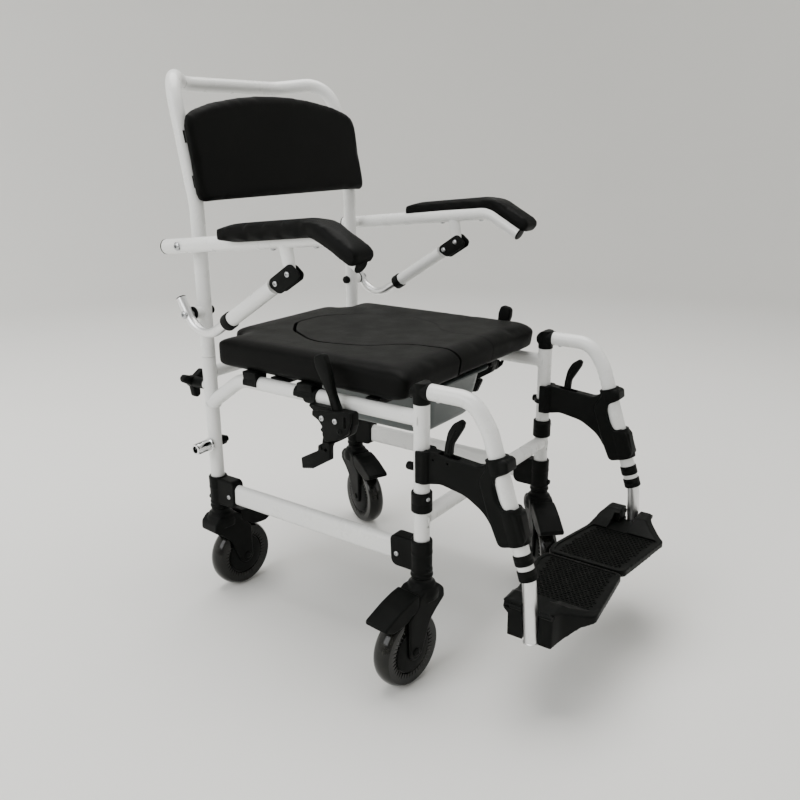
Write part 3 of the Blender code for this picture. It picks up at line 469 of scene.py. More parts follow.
def aim(thing, place, along):
    """Turns a part made about Z to point along a direction, and applies it to the mesh."""
    thing.rotation_mode = "QUATERNION"
    thing.rotation_quaternion = Vector(along).to_track_quat("Z", "Y")
    thing.location = place
    pick(thing)
    bpy.ops.object.transform_apply(location=True, rotation=True, scale=True)
    return thing


def lathe(profile, place=(0, 0, 0), along=(0, 0, 1), steps=48):
    thing = new_ring(len(profile), fill="NOTHING")
    for corner, (radius, height) in zip(thing.data.vertices, profile):
        corner.co = (radius, 0.0, height)
    edit(thing, "EDGE")
    choose_edges(thing, lambda a, b: a.x < 0.000001 and b.x < 0.000001)
    bpy.ops.mesh.delete(type="EDGE")
    all_of_it()
    bpy.ops.mesh.spin(steps=steps, angle=math.tau, center=(0, 0, 0), axis=(0, 0, 1))
    all_of_it()
    bpy.ops.mesh.remove_doubles(threshold=SAME_POINT)
    leave_edit()
    return aim(thing, place, along)


def bent_tube(points, radius, bends=(), sides=36):
    path = [Vector(point) for point in points]
    thing = aim(new_ring(sides, radius), path[0], path[1] - path[0])
    edit(thing)
    all_of_it()
    here = path[0]
    for index, bend in enumerate(bends, start=1):
        before = (path[index] - path[index - 1]).normalized()
        after = (path[index + 1] - path[index]).normalized()
        turn = before.angle(after)
        reach = bend * math.tan(turn / 2)
        start = path[index] - before * reach
        axis = before.cross(after).normalized()
        if (start - here).length > 0.00001:
            extrude(start - here)
        centre = start + axis.cross(before) * bend
        steps = max(4, round(math.degrees(turn) / 5))
        bpy.ops.mesh.spin(steps=steps, angle=-turn, center=centre, axis=axis)
        here = path[index] + after * reach
    extrude(path[-1] - here)
    all_of_it()
    bpy.ops.mesh.remove_doubles(threshold=SAME_POINT)
    leave_edit()
    return thing


def bar(start, end, radius, sides=36):
    return bent_tube([start, end], radius, (), sides)


def bar_x(x0, x1, y, z, radius, sides=36):
    return bar((x0, y, z), (x1, y, z), radius, sides)


def bar_y(x, y0, y1, z, radius, sides=36):
    return bar((x, y0, z), (x, y1, z), radius, sides)


def bar_z(x, y, z0, z1, radius, sides=36):
    return bar((x, y, z0), (x, y, z1), radius, sides)


print("plate, lathe, bent_tube and three straight bars are ready")

# %% [markdown]
# Parts are then joined or cut by Boolean modifiers that are applied at once. A moulded part also
# needs its inside corners filled, because melted plastic never leaves a sharp one. Remeshing
# the joined blocks into small voxels and smoothing them a little gives just that.

# %% Joining, cutting and moulding


def modify(thing, kind, **settings):
    """Adds a modifier, sets it and applies it at once."""
    step = thing.modifiers.new(kind.lower(), kind)
    for key, value in settings.items():
        setattr(step, key, value)
    pick(thing)
    bpy.ops.object.modifier_apply(modifier=step.name)
    return thing


def discard(*things):
    for thing in things:
        bpy.data.objects.remove(thing, do_unlink=True)


def carve(thing, *others, how="DIFFERENCE"):
    for other in others:
        modify(thing, "BOOLEAN", operation=how, solver="EXACT", object=other)
        discard(other)
    return thing


def merge(thing, *others):
    return carve(thing, *others, how="UNION")


def gather(thing, *others):
    """Joins loose parts of one piece that only touch or sit inside each other."""
    pick(thing, *others)
    bpy.ops.object.join()
    return thing


def mould(thing, voxel=0.001, rounds=4):
    """Rounds every corner of a joined shape the way a moulding is rounded."""
    modify(thing, "REMESH", mode="VOXEL", voxel_size=voxel)
    return modify(thing, "SMOOTH", factor=0.5, iterations=rounds)


def twin(thing, matrix):
    """A copy with its own mesh, moved by a matrix and turned right side out if that mirrored it."""
    copy = thing.copy()
    copy.data = thing.data.copy()
    bpy.context.scene.collection.objects.link(copy)
    copy.data.transform(matrix)
    if matrix.determinant() < 0:
        edit(copy)
        leave_edit()
    return copy


def about(point, move):
    """A matrix that keeps one point where it is and moves everything else round it."""
    return Matrix.Translation(point) @ move @ Matrix.Translation(-point)


MIRROR_X = Matrix.Diagonal((-1.0, 1.0, 1.0, 1.0))
MIRROR_Y = Matrix.Diagonal((1.0, -1.0, 1.0, 1.0))
print("carve, merge, gather, mould, twin and about are ready")

# %% [markdown]
# Every finished piece goes through the same last step: it is moved by the shift, named, given
# its finish, hung on the body that it moves with, and the CAD nodes that it stands for are hidden.

# %% Putting a piece in place
SLOTS = {
    WHITE.name: "white_powder_coat", NYLON.name: "black_moulded_nylon",
    FOAM.name: "black_skinned_foam", TREAD.name: "black_wheel", ALUMINIUM.name: "bare_aluminium",
    ZINC.name: "bare_aluminium", CHROME.name: "bare_aluminium", PAN.name: "blue_grey_pan",
}


def settle(thing, name, body, look, nodes=(), smooth=32.0, padded=None, slot=None):
    thing.name = name
    thing.data.name = name
    thing.data.transform(Matrix.Translation(SHIFT))
    thing.data.materials.clear()
    thing.data.materials.append(look)
    pick(thing)
    bpy.ops.object.shade_smooth_by_angle(angle=math.radians(smooth))
    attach(thing, body)
    slot = slot or SLOTS[look.name]
    if nodes:
        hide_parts(*nodes)
    print(name, "has", len(thing.data.polygons), "faces and rides on", body)
    return thing


def settle_pair(thing, stem, body, look, nodes=(), smooth=32.0, padded=None):
    """The right piece and its mirror image. A star in a body's name stands for the side."""
    other = twin(thing, MIRROR_X)
    for side, piece in zip(SIDES, (thing, other)):
        own = [f"{node}_{side}" for node in nodes]
        settle(piece, f"{stem}_{side}", body.replace("*", side), look, own, smooth, padded)


print("settle and settle_pair are ready")

# %% [markdown]
# One kind of screw holds most of the chair: a low domed head with a hexagon socket. It is turned
# on the lathe in the size that a place needs, and a six-sided hole is cut in it. A weld is a ring
# with a faint ripple, bent so that it lies on the round of the main tube.

# %% Screw heads


def socket_screw(place, along, radius=0.0052, height=0.0032):
    dome = []
    for degrees in range(0, 71, 14):
        angle = math.radians(degrees)
        dome.append((radius * math.cos(angle), height * (0.35 + 0.65 * math.sin(angle))))
    head = lathe([(0.0, -0.0008), (radius, -0.0008)] + dome + [(0.0, height)], steps=32)
    hole = radius * 0.48
    socket = lathe(oblong(0.0, hole, height * 0.3, 0.01), steps=6)
    return aim(carve(head, socket), place, along)


def weld(place, along, radius, main_axis, main_radius, bead=0.0016):
    """A bead round the foot of a branch tube, lying in the saddle on the main tube."""
    along = Vector(along).normalized()
    main_axis = Vector(main_axis).normalized()
    sideways = along.cross(main_axis).normalized()
    bpy.ops.object.select_all(action="DESELECT")
    bpy.ops.mesh.primitive_torus_add(
        major_radius=radius + bead * 0.35, minor_radius=bead, major_segments=96, minor_segments=8,
    )
    thing = bpy.context.object
    for corner in thing.data.vertices:
        angle = math.atan2(corner.co.y, corner.co.x)
        ripple = 1.0 + 0.012 * math.sin(26.0 * angle) + 0.006 * math.sin(7.0 * angle + 1.0)
        corner.co.x *= ripple
        corner.co.y *= ripple
    aim(thing, place, along)
    for corner in thing.data.vertices:
        off = (corner.co - Vector(place)).dot(sideways)
        corner.co += along * math.sqrt(max(0.0, main_radius ** 2 - off ** 2))
    return thing


print("socket_screw and weld are ready")

# %% [markdown]
# The side frame is the part that everything else bolts to: a front post, a rear post and the
# seat rail between them, which dips into the rear post. The tubes are coped and welded, so each
# foot of the rail has a small rippled bead. The rear post takes the back frame in its open top.

# %% Side frames
RAIL_FOOT_Z = 0.382
front_post = bar_z(RX, -POST_Y, POST_FOOT + 0.001, FRONT_POST_TOP, TUBE)
rear_post = bar_z(RX, POST_Y, POST_FOOT + 0.001, REAR_POST_TOP, TUBE)
rail = bent_tube(
    [(RX, -POST_Y, SEAT_RAIL_Z), (RX, 0.15, SEAT_RAIL_Z), (RX, POST_Y, RAIL_FOOT_Z)],
    TUBE - 0.0002,
    [0.062],
)
side_frame = merge(rail, front_post, rear_post)
side_frame = carve(
    side_frame, bar_z(RX, POST_Y, 0.4, 0.5, 0.0111),
    bar_y(RX, POST_Y - 0.001, POST_Y + 0.03, 0.4155, 0.0034, 20),
    bar_y(RX, -POST_Y - 0.03, -POST_Y, 0.264, 0.0026, 20),
)
beads = [
    weld((RX, -POST_Y, SEAT_RAIL_Z), (0, 1, 0), TUBE, (0, 0, 1), TUBE),
    weld((RX, POST_Y, RAIL_FOOT_Z), (0, -0.0823, 0.0575), TUBE, (0, 0, 1), TUBE),
]
side_frame = gather(side_frame, *beads)
settle_pair(side_frame, "welded_side", "frame", WHITE, ["side_frame"])

# %% [markdown]
# A black stop collar is clamped on each front post. The leg rest's bracket turns above it, and
# a small screw in its face keeps it from sliding down.

# %% Stop collars
collar = lathe(
    [
        (0.0128, 0.289), (0.0158, 0.289), (0.0168, 0.29), (0.0168, 0.303), (0.0165, 0.3036),
        (0.0168, 0.3042), (0.0168, 0.3205), (0.0158, 0.3218), (0.0128, 0.3218),
    ],
    (RX, -POST_Y, 0.0),
)
settle_pair(collar, "stop_collar", "frame", NYLON)
toward = Vector((-0.34, -0.94, 0.0)).normalized()
foot = Vector((RX, -POST_Y, 0.313)) + toward * 0.0162
settle_pair(socket_screw(foot, toward, 0.0034, 0.002), "collar_screw", "frame", ZINC)

# %% [markdown]
# Two cross tubes tie the sides together: a thick one low in front, where a foot may kick it, and
# a thinner one behind the seat. Each end is welded to its post all the way round.

# %% Cross tubes


def cross_tube(y, z, radius, name, node):
    run = bar_x(RX + 0.009, -RX - 0.009, y, z, radius)
    ends = [weld((sign * POST_X, y, z), (-sign, 0, 0), radius, (0, 0, 1), TUBE) for sign in (-1, 1)]
    return settle(gather(run, *ends), name, "frame", WHITE, [node])


cross_tube(-POST_Y, 0.2762, TUBE, "front_tie_tube", "front_cross_tube")
cross_tube(POST_Y, 0.44, 0.0111, "rear_tie_tube", "rear_cross_tube")

# %% [markdown]
# The lower rail is flat oval tube, taller than it is wide, because it only has to resist the
# casters being pushed apart. Both ends sit in the caster brackets.

# %% Lower rails
oval = rounded(oblong(RX - 0.0092, RX + 0.0092, 0.1915, 0.2305), 0.009, 10)
lower_rail = plate(oval, -0.2, 0.2, "XZ")
settle_pair(lower_rail, "oval_rail", "frame", WHITE, ["lower_rail"])

# %% [markdown]
# A moulded bracket on the foot of each post holds the rail and the caster stem. It is a ringed
# sleeve with a short box arm, made in one shot, so the sleeve and the arm are joined and then
# moulded together. A silver screw goes through the arm and the rail.

# %% Caster brackets
sleeve = lathe(
    [
        (0.0, 0.1762), (0.0178, 0.1762), (0.0186, 0.1785), (0.0182, 0.1815), (0.0168, 0.183),
        (0.0168, 0.185), (0.0178, 0.1862), (0.0178, 0.189), (0.0168, 0.1902), (0.017, 0.215),
        (0.0176, 0.216), (0.0176, 0.22), (0.0172, 0.221), (0.0174, 0.238), (0.016, 0.24),
        (0.013, 0.24), (0.013, 0.2065), (0.0, 0.2065),
    ],
    (RX, -POST_Y, 0.0),
    steps=56,
)
arm_box = plate(
    rounded(
        [(-POST_Y, 0.185), (-0.18, 0.185), (-0.178, 0.2385), (-POST_Y, 0.2385)],
        [0, 0.012, 0.009, 0],
    ),
    RX - 0.013,
    RX + 0.013,
    rim=0.003,
)
boss = bar_y(RX - 0.004, -POST_Y - 0.02, -POST_Y, 0.1935, 0.005, 24)
bracket = merge(arm_box, sleeve, boss)
room = bar_z(RX, -POST_Y, 0.2065, 0.3, 0.013)
bracket = mould(carve(bracket, room))
screw = socket_screw((RX - 0.0128, -0.192, 0.2075), (-1, 0, 0), 0.0042, 0.0026)
FLIPS = {
    "rear_right": MIRROR_Y, "front_right": Matrix.Identity(4), "rear_left": MIRROR_X @ MIRROR_Y,
    "front_left": MIRROR_X,
}
for corner, flip in FLIPS.items():
    node = f"caster_bracket_{corner}"
    settle(twin(bracket, flip), f"bracket_moulding_{corner}", "frame", NYLON, [node], 40)
    settle(twin(screw, flip), f"bracket_screw_{corner}", "frame", ZINC)
discard(bracket, screw)

# %% [markdown]
# The caster is drawn once about its swivel axis, with its trail along +X, and turned four ways.
# Its hood has flat cheeks that narrow to the axle, a bulge over the swivel bearing and a dust
# cap in two steps under the bracket.

# %% Caster forks
WHEEL_R = 0.0635
TRAIL = 0.0394
cheek = rounded(
    [
        (-0.018, 0.162), (-0.03, 0.15), (-0.031, 0.134), (-0.011, 0.119), (0.004, 0.105),
        (0.0235, 0.056), (0.0394, 0.0445), (0.054, 0.056), (0.054, 0.124), (0.034, 0.142),
        (0.031, 0.154), (0.02, 0.162),
    ],
    [0.008, 0.01, 0.006, 0.02, 0.03, 0.012, 0.014, 0.012, 0.01, 0.01, 0.008, 0.008],
)
hood = plate(cheek, -0.0232, 0.0232, "XZ", rim=0.0035)
hood = carve(
    hood,
    bar_y(TRAIL, -0.0188, 0.0188, WHEEL_R, WHEEL_R + 0.0044, 64),
    plate(oblong(-0.05, 0.12, 0.02, 0.118), -0.0188, 0.0188, "XZ"),
)
cap = lathe(
    [
        (0.0, 0.145), (0.027, 0.14), (0.028, 0.15), (0.0262, 0.1575), (0.0232, 0.161),
        (0.0226, 0.1628), (0.0222, 0.1648), (0.02, 0.1668), (0.0172, 0.1682), (0.0168, 0.1755),
        (0.0, 0.1755),
    ],
    steps=56,
)
lug_side = rounded([(0.022, 0.138), (0.048, 0.143), (0.048, 0.154), (0.022, 0.156)], 0.005)
lug = plate(lug_side, -0.008, 0.008, "XZ")
fork = mould(merge(hood, cap, lug), 0.0011, 5)
axle = gather(
    bar_y(TRAIL, -0.0258, 0.0258, WHEEL_R, 0.004, 24),
    socket_screw((TRAIL, -0.023, WHEEL_R), (0, -1, 0), 0.0072, 0.0034),
    socket_screw((TRAIL, 0.023, WHEEL_R), (0, 1, 0), 0.0072, 0.0034),
)


def on_caster(corner):
    """Where a caster stands: its post, and the way its trail points in the photograph."""
    name, side, front, heading = corner
    spin = Matrix.Rotation(math.radians(heading), 4, "Z")
    return name, Matrix.Translation((side * POST_X, front * POST_Y, 0.0)) @ spin


def settle_four(body, *parts):
    """Sets copies of some parts at all four corners: each is a mesh, a name, a look, nodes and more."""
    for name, place in map(on_caster, CORNERS):
        for thing, stem, look, nodes, *more in parts:
            own = [f"{node}_{name}" for node in nodes]
            settle(twin(thing, place), f"{stem}_{name}", f"{body}_{name}", look, own, *more)
    discard(*[part[0] for part in parts])


settle_four("swivel", (fork, "fork_hood", NYLON, ["caster_fork"], 40), (axle, "fork_axle", NYLON, ()))

# %% [markdown]
# Each wheel is a glossy tread over a dark core, with a wide hub cover on each side. The tread is
# turned with a softly rounded face and a fine parting line. Low ribs stand on its side wall
# beside the cover, and they catch the bright glints that the photograph shows there.

# %% Wheels
RIBS = 40
TREAD_HALF = 0.0165
CROWN_DEGREES = 66
CROWN_FALL = 0.0105
crown = []
for degrees in range(-CROWN_DEGREES, CROWN_DEGREES + 1, 11):
    angle = math.radians(degrees)
    fall = CROWN_FALL * (1.0 - math.cos(angle))
    crown.append((WHEEL_R - fall, TREAD_HALF * math.sin(angle) / math.sin(math.radians(CROWN_DEGREES))))
wall = [(0.0345, 0.0128), (0.0385, 0.0132), (0.04, 0.015), (0.044, 0.0156), (0.05, 0.0166)]
tread_profile = [(r, -h) for r, h in wall] + crown + [(r, h) for r, h in reversed(wall)]
tread = lathe(tread_profile, (TRAIL, 0, WHEEL_R), (0, 1, 0), 80)
cover = [
    (0.0045, 0.018), (0.02, 0.018), (0.034, 0.017), (0.0366, 0.016), (0.0372, 0.0146),
    (0.0372, 0.012),
]
core_profile = [(r, -h) for r, h in cover] + [(r, h) for r, h in reversed(cover)]
core = lathe(core_profile, (TRAIL, 0, WHEEL_R), (0, 1, 0), 72)
rib_outline = rounded(oblong(0.039, 0.048, -0.0007, 0.0007), 0.0006, 2)
ribs = []
for k in range(RIBS):
    rib = plate(rib_outline, -0.0164, 0.0164, "XZ")
    turn = Matrix.Rotation(math.tau * k / RIBS, 4, "Y")
    rib.data.transform(Matrix.Translation((TRAIL, 0, WHEEL_R)) @ turn)
    ribs.append(rib)
tread = gather(tread, *ribs)
settle_four(
    "wheel",
    (tread, "wheel_tread", TREAD, ["caster_wheel"], 40),
    (core, "wheel_core", NYLON, (), 32.0, None, "black_wheel"),
)

# %% [markdown]
# The brake pedal is a deep hollow wedge. It starts under the dust cap, as wide as the hood, runs
# down to a blunt toe over the wheel, and its underside follows the wheel, also when it is pressed.

# %% Brake pedals
PEDAL_HINGE = Vector((0.042, 0.0, 0.15))
PEDAL_PRESS = math.radians(-10.0)
wedge = rounded(
    [
        (0.033, 0.129), (0.03, 0.14), (0.03, 0.156), (0.031, 0.1615), (0.048, 0.1585),
        (0.072, 0.1505), (0.1065, 0.1345), (0.1075, 0.1275), (0.09, 0.119), (0.07, 0.12),
        (0.052, 0.125),
    ],
    [0.003, 0.004, 0.004, 0.003, 0.03, 0.03, 0.003, 0.003, 0.012, 0.012, 0.012],
)
pedal = plate(wedge, -0.0228, 0.0228, "XZ", rim=0.003)
over_wheel = bar_y(TRAIL, -0.0196, 0.0196, WHEEL_R, WHEEL_R + 0.0032, 64)
met_wheel = bar_y(TRAIL, -0.0196, 0.0196, WHEEL_R, WHEEL_R + 0.0006, 64)
met_wheel.data.transform(about(PEDAL_HINGE, Matrix.Rotation(PEDAL_PRESS, 4, "Y")))
neck_room = bar_z(0.0, 0.0, 0.1, 0.2, 0.029, 48)
leg_room = [(-0.01, 0.1), (0.0555, 0.1), (0.0555, 0.125), (0.048, 0.131), (-0.01, 0.144)]
pedal = carve(
    pedal, over_wheel, met_wheel, neck_room, plate(leg_room, -0.03, -0.0182, "XZ"),
    plate(leg_room, 0.0182, 0.03, "XZ"),
)
pedal = mould(pedal)
settle_four("pedal", (pedal, "pedal_wedge", NYLON, ["brake_pedal"], 40))

# %% [markdown]
# The back frame is one tube: it rises from the rear posts, leans back, turns inwards at the top
# and ends in the push bar. Tube benders leave true arcs, so each bend is a spun circle.

# %% Back frame
KINK_Z = 0.735
BACK_SLOPE = 0.194
back_path = [
    (RX, POST_Y, REAR_POST_TOP + 0.0006), (RX, POST_Y, KINK_Z), (RX, 0.2742, 0.951),
    (-0.118, 0.347, 0.939), (0.118, 0.347, 0.939), (-RX, 0.2742, 0.951), (-RX, POST_Y, KINK_Z),
    (-RX, POST_Y, REAR_POST_TOP + 0.0006),
]
BACK_BENDS = [0.1, 0.056, 0.048, 0.048, 0.056, 0.1]
back_frame = bent_tube(back_path, TUBE, BACK_BENDS, 40)
ARM_X = 0.243
ARM_PIVOT = Vector((-ARM_X, 0.233, 0.6713))
ROD_PIVOT = Vector((-ARM_X, 0.2345, 0.553))
spacers = []
for side in (-1, 1):
    for pivot, radius, far in ((ARM_PIVOT, 0.0095, 0.0132), (ROD_PIVOT, 0.0112, 0.0126)):
        profile = [
            (0.0, 0.0), (radius + 0.0012, 0.0), (radius + 0.001, TUBE + 0.0016),
            (radius, TUBE + 0.003), (radius, ARM_X - POST_X - far - 0.0008),
            (radius - 0.0008, ARM_X - POST_X - far), (0.0, ARM_X - POST_X - far),
        ]
        spacers.append(lathe(profile, (side * POST_X, pivot.y, pivot.z), (side, 0, 0), 40))
back_frame = gather(back_frame, *spacers)
settle(back_frame, "bent_back_tube", "back", WHITE, ["back_frame"], 40)

# %% [markdown]
# The pivots carry small hardware: a silver bolt through each arm, a black washer beside the rod,
# the rod's bolt and, inside the upright, a black cap over its nut.

# %% Pivot hardware
washer = lathe(
    [(0.0045, 0.0), (0.0108, 0.0), (0.0116, 0.0008), (0.0116, 0.0022), (0.0108, 0.003), (0.0045, 0.003)],
    (RX - 0.0232, ROD_PIVOT.y, ROD_PIVOT.z),
    (-1, 0, 0),
    40,
)
cap = lathe(
    [(0.0, 0.0115), (0.0082, 0.0115), (0.0082, 0.015), (0.0074, 0.0182), (0.0052, 0.02), (0.0, 0.0206)],
    (RX, ROD_PIVOT.y, ROD_PIVOT.z),
    (1, 0, 0),
    36,
)
settle_pair(gather(washer, cap), "rod_pivot_cap", "back", NYLON)
arm_bolt = socket_screw(ARM_PIVOT - Vector((TUBE + 0.0002, 0, 0)), (-1, 0, 0), 0.0072, 0.0042)
rod_bolt = socket_screw(ROD_PIVOT - Vector((0.009, 0, 0)), (-1, 0, 0), 0.0068, 0.0042)
settle_pair(gather(arm_bolt, rod_bolt), "pivot_bolts", "back", ZINC)

# %% [markdown]
# The three-lobed knob behind each rear post clamps the back frame. It is a star plate with thick
# soft edges on a short hub, screwed into a white boss on the post.

# %% Clamp knobs
KNOB_Z = 0.4155
star = []
for lobe in (35.0, 155.0, 275.0):
    for turn, reach in ((-60.0, 0.0105), (-15.0, 0.0275), (0.0, 0.0312), (15.0, 0.0275)):
        angle = math.radians(lobe + turn)
        star.append((RX + reach * math.cos(angle), KNOB_Z + reach * math.sin(angle)))
star = rounded(star, [0.007, 0.006, 0.009, 0.006] * 3)
knob = plate(star, 0.2705, 0.2855, "XZ", rim=0.0042, segments=4)
hub = lathe(
    [
        (0.0, 0.247), (0.0086, 0.247), (0.0096, 0.248), (0.0108, 0.273), (0.0108, 0.2868),
        (0.0094, 0.288), (0.0, 0.288),
    ],
    (RX, 0.0, KNOB_Z),
    (0, 1, 0),
    40,
)
settle_pair(gather(knob, hub), "clamp_knob", "knob_*", NYLON, ["wing_knob"], 40)
post_boss = lathe(
    [(0.0036, 0.236), (0.0108, 0.236), (0.01, 0.244), (0.0088, 0.2466), (0.0036, 0.2466)],
    (RX, 0.0, KNOB_Z),
    (0, 1, 0),
    36,
)
settle_pair(post_boss, "clamp_boss", "frame", WHITE)

# %% [markdown]
# A chromed bush through each rear post takes the axle of a large wheel. It has a flange against
# the post, a bevelled mouth and a deep dark bore, and a black nut holds it from inside.

# %% Axle bushes
AXLE_Z = 0.3045
NUT_RADIUS = 0.0092
bush = lathe(
    [
        (0.0064, 0.014), (0.0128, 0.014), (0.0128, 0.0168), (0.011, 0.0172), (0.0108, 0.044),
        (0.0102, 0.0452), (0.0102, 0.0478), (0.0094, 0.049), (0.0068, 0.049), (0.0064, 0.0484),
    ],
    (RX, POST_Y, AXLE_Z),
    (-1, 0, 0),
    56,
)
bore = lathe(oblong(0.0, 0.0066, 0.028, 0.026), (RX, POST_Y, AXLE_Z), (-1, 0, 0), 32)
settle_pair(gather(bush, bore), "axle_bush", "frame", CHROME, ["axle_sleeve"], 30)
hexagon = []
for k in range(6):
    angle = math.tau * k / 6
    hexagon.append((POST_Y + NUT_RADIUS * math.cos(angle), AXLE_Z + NUT_RADIUS * math.sin(angle)))
nut = plate(hexagon, RX + 0.0125, RX + 0.024, rim=0.0012)
tip = bar_x(RX + 0.023, RX + 0.0285, POST_Y, AXLE_Z, 0.0058, 28)
settle_pair(gather(nut, tip), "axle_nut", "frame", NYLON)

# %% [markdown]
# Each arm is a tube that bends down at the front, with a short stub welded under it for the
# strut, pressed flat at its foot. The ends are closed by thin black caps, and two screws hold the
# pad from below.

# %% Arm tubes
AX = -ARM_X
ARM_BACK = Vector((AX, 0.275, 0.667))
ARM_BEND = Vector((AX, -0.085, 0.704))
ARM_TIP = Vector((AX, -0.15, 0.668))
STUB_PRESS = 0.68
STUB_PRESS_TOP = 0.684
STUB_PRESS_RUN = 0.016


def on_arm(y):
    """A point on the straight part of the arm tube's axis."""
    share = (ARM_BACK.y - y) / (ARM_BACK.y - ARM_BEND.y)
    return ARM_BACK.lerp(ARM_BEND, share)


arm_tube = bent_tube([ARM_BACK, ARM_BEND, ARM_TIP], TUBE, [0.06], 40)
stub_top = on_arm(-0.003)
stub_end = Vector((AX, -0.0127, 0.6365))
stub = bar(stub_top, stub_end, 0.0118, 40)
for corner in stub.data.vertices:
    press = min(1.0, max(0.0, (STUB_PRESS_TOP - corner.co.z) / STUB_PRESS_RUN))
    corner.co.x = AX + (corner.co.x - AX) * (1.0 - STUB_PRESS * press)
stub_weld = weld(stub_top, stub_end - stub_top, 0.0113, ARM_BEND - ARM_BACK, TUBE, 0.0013)
settle_pair(gather(arm_tube, stub, stub_weld), "arm_rail", "arm_*", WHITE, ["arm_tube"], 40)
cap_profile = [
    (0.0, -0.004), (0.011, -0.004), (0.011, 0.0), (0.0127, 0.0), (0.0129, 0.001), (0.0112, 0.0026),
    (0.0, 0.0034),
]
rear_profile = cap_profile[:4] + [(0.013, 0.0024), (0.0112, 0.0042), (0.0, 0.005)]
rear_cap = lathe(rear_profile, ARM_BACK, ARM_BACK - ARM_BEND, 40)
front_cap = lathe(cap_profile, ARM_TIP, ARM_TIP - ARM_BEND, 40)
settle_pair(gather(rear_cap, front_cap), "arm_end_caps", "arm_*", NYLON)
under = Vector((0.0, -0.1022, -0.9948)).normalized()
screws = [socket_screw(on_arm(y) + under * 0.0124, under, 0.0046, 0.003) for y in (0.024, -0.0655)]
settle_pair(gather(*screws), "arm_pad_screws", "arm_*", ZINC)

# %% [markdown]
# The strut under each arm is a white tube with a bare rod sliding in it. Its upper end is pressed
# to a tongue between two black joint plates, of which the inner one is a little smaller. They
# hold it to the arm's stub, and a black ring guides the rod where it comes out.

# %% Strut tubes and joints
STRUT_SLOPE = math.radians(-32.5)
STRUT_AXIS = Vector((0.0, math.cos(STRUT_SLOPE), math.sin(STRUT_SLOPE)))
STRUT_BOLT = Vector((AX, 0.015, 0.6271))
STRUT_PIVOT = Vector((AX, -0.0114, 0.6441))
STRUT_LENGTH = 0.1496
TONGUE_SHARE = 0.38
strut = bar(STRUT_BOLT + STRUT_AXIS * 0.0125, STRUT_BOLT + STRUT_AXIS * (STRUT_LENGTH - 0.01), 0.0125, 40)
tongue = bar(STRUT_BOLT - STRUT_AXIS * 0.008, STRUT_BOLT + STRUT_AXIS * 0.02, 0.01, 32)
for corner in tongue.data.vertices:
    corner.co.x = AX + (corner.co.x - AX) * TONGUE_SHARE
strut = gather(strut, tongue)
settle_pair(strut, "strut_sleeve", "strut_*", WHITE, ["strut_tube"])
guide = lathe(
    [
        (0.009, 0.0), (0.0138, 0.0), (0.0147, 0.001), (0.0147, 0.014), (0.014, 0.016),
        (0.0118, 0.0176), (0.009, 0.0176),
    ],
    STRUT_BOLT + STRUT_AXIS * (STRUT_LENGTH - 0.0186),
    STRUT_AXIS,
    44,
)
settle_pair(guide, "strut_guide_ring", "strut_*", NYLON)
joint_outline = rounded(
    [
        (0.0284, 0.6324), (-0.0176, 0.6624), (-0.0376, 0.6464), (-0.0336, 0.6364), (0.0074, 0.6104),
        (0.0284, 0.6214),
    ],
    [0.01, 0.012, 0.01, 0.006, 0.012, 0.008],
)
outer = plate(joint_outline, AX - 0.0078, AX - 0.0042, rim=0.0012)
middle = Vector((AX + 0.006, 0.0018, 0.6356))
inner = plate(joint_outline, AX + 0.0042, AX + 0.0078, rim=0.0012)
inner.data.transform(about(middle, Matrix.Scale(0.92, 4)))
settle_pair(gather(outer, inner), "strut_joint_plates", "arm_*", NYLON, ["strut_joint"])
bolts = []
for point in (STRUT_BOLT, STRUT_PIVOT):
    bolts.append(socket_screw(point - Vector((0.0076, 0, 0)), (-1, 0, 0), 0.0046, 0.0026))
    bolts.append(socket_screw(point + Vector((0.0074, 0, 0)), (1, 0, 0), 0.0046, 0.0026))
settle_pair(gather(*bolts), "strut_joint_bolts", "arm_*", ZINC)

# %% [markdown]
# The bare rod leaves the sleeve, bends up behind the upright and turns on its bolt there. Its
# free end has a thin black plug.

# %% Strut rods
ROD_RISE = Vector((0.0, 0.517, 0.856))
rod_end = ROD_PIVOT + ROD_RISE * 0.031
rod_path = [STRUT_BOLT + STRUT_AXIS * 0.09, Vector((AX, 0.2064, 0.5066)), rod_end]
strut_rod = bent_tube(rod_path, 0.0087, [0.05])
settle_pair(strut_rod, "bent_strut_rod", "rod_*", ALUMINIUM, ["strut_rod"], 40)
plug = lathe(
    [
        (0.0, -0.003), (0.008, -0.003), (0.008, 0.0), (0.0088, 0.0), (0.0089, 0.001),
        (0.0074, 0.0022), (0.0, 0.0026),
    ],
    rod_end,
    ROD_RISE,
    32,
)
settle_pair(plug, "strut_rod_plug", "rod_*", NYLON)

# %% [markdown]
# A leg rest hangs from the front post by a black elbow. The elbow drops into the post, rounds
# over its back corner and hands over to the white hanger tube, which curves forward and down.
# Two black rings sit near the tube's lower end.

# %% Elbows and hanger tubes
HANGER_Z = 0.4845
RING_R = 0.0146
HANGER_END = Vector((RX, -0.4095, 0.262))
HANGER_DOWN = Vector((0.0, -0.312, -0.95)).normalized()


def on_hanger(z):
    """A point on the straight lower part of the hanger tube's axis."""
    return HANGER_END + HANGER_DOWN * ((HANGER_END.z - z) / -HANGER_DOWN.z)


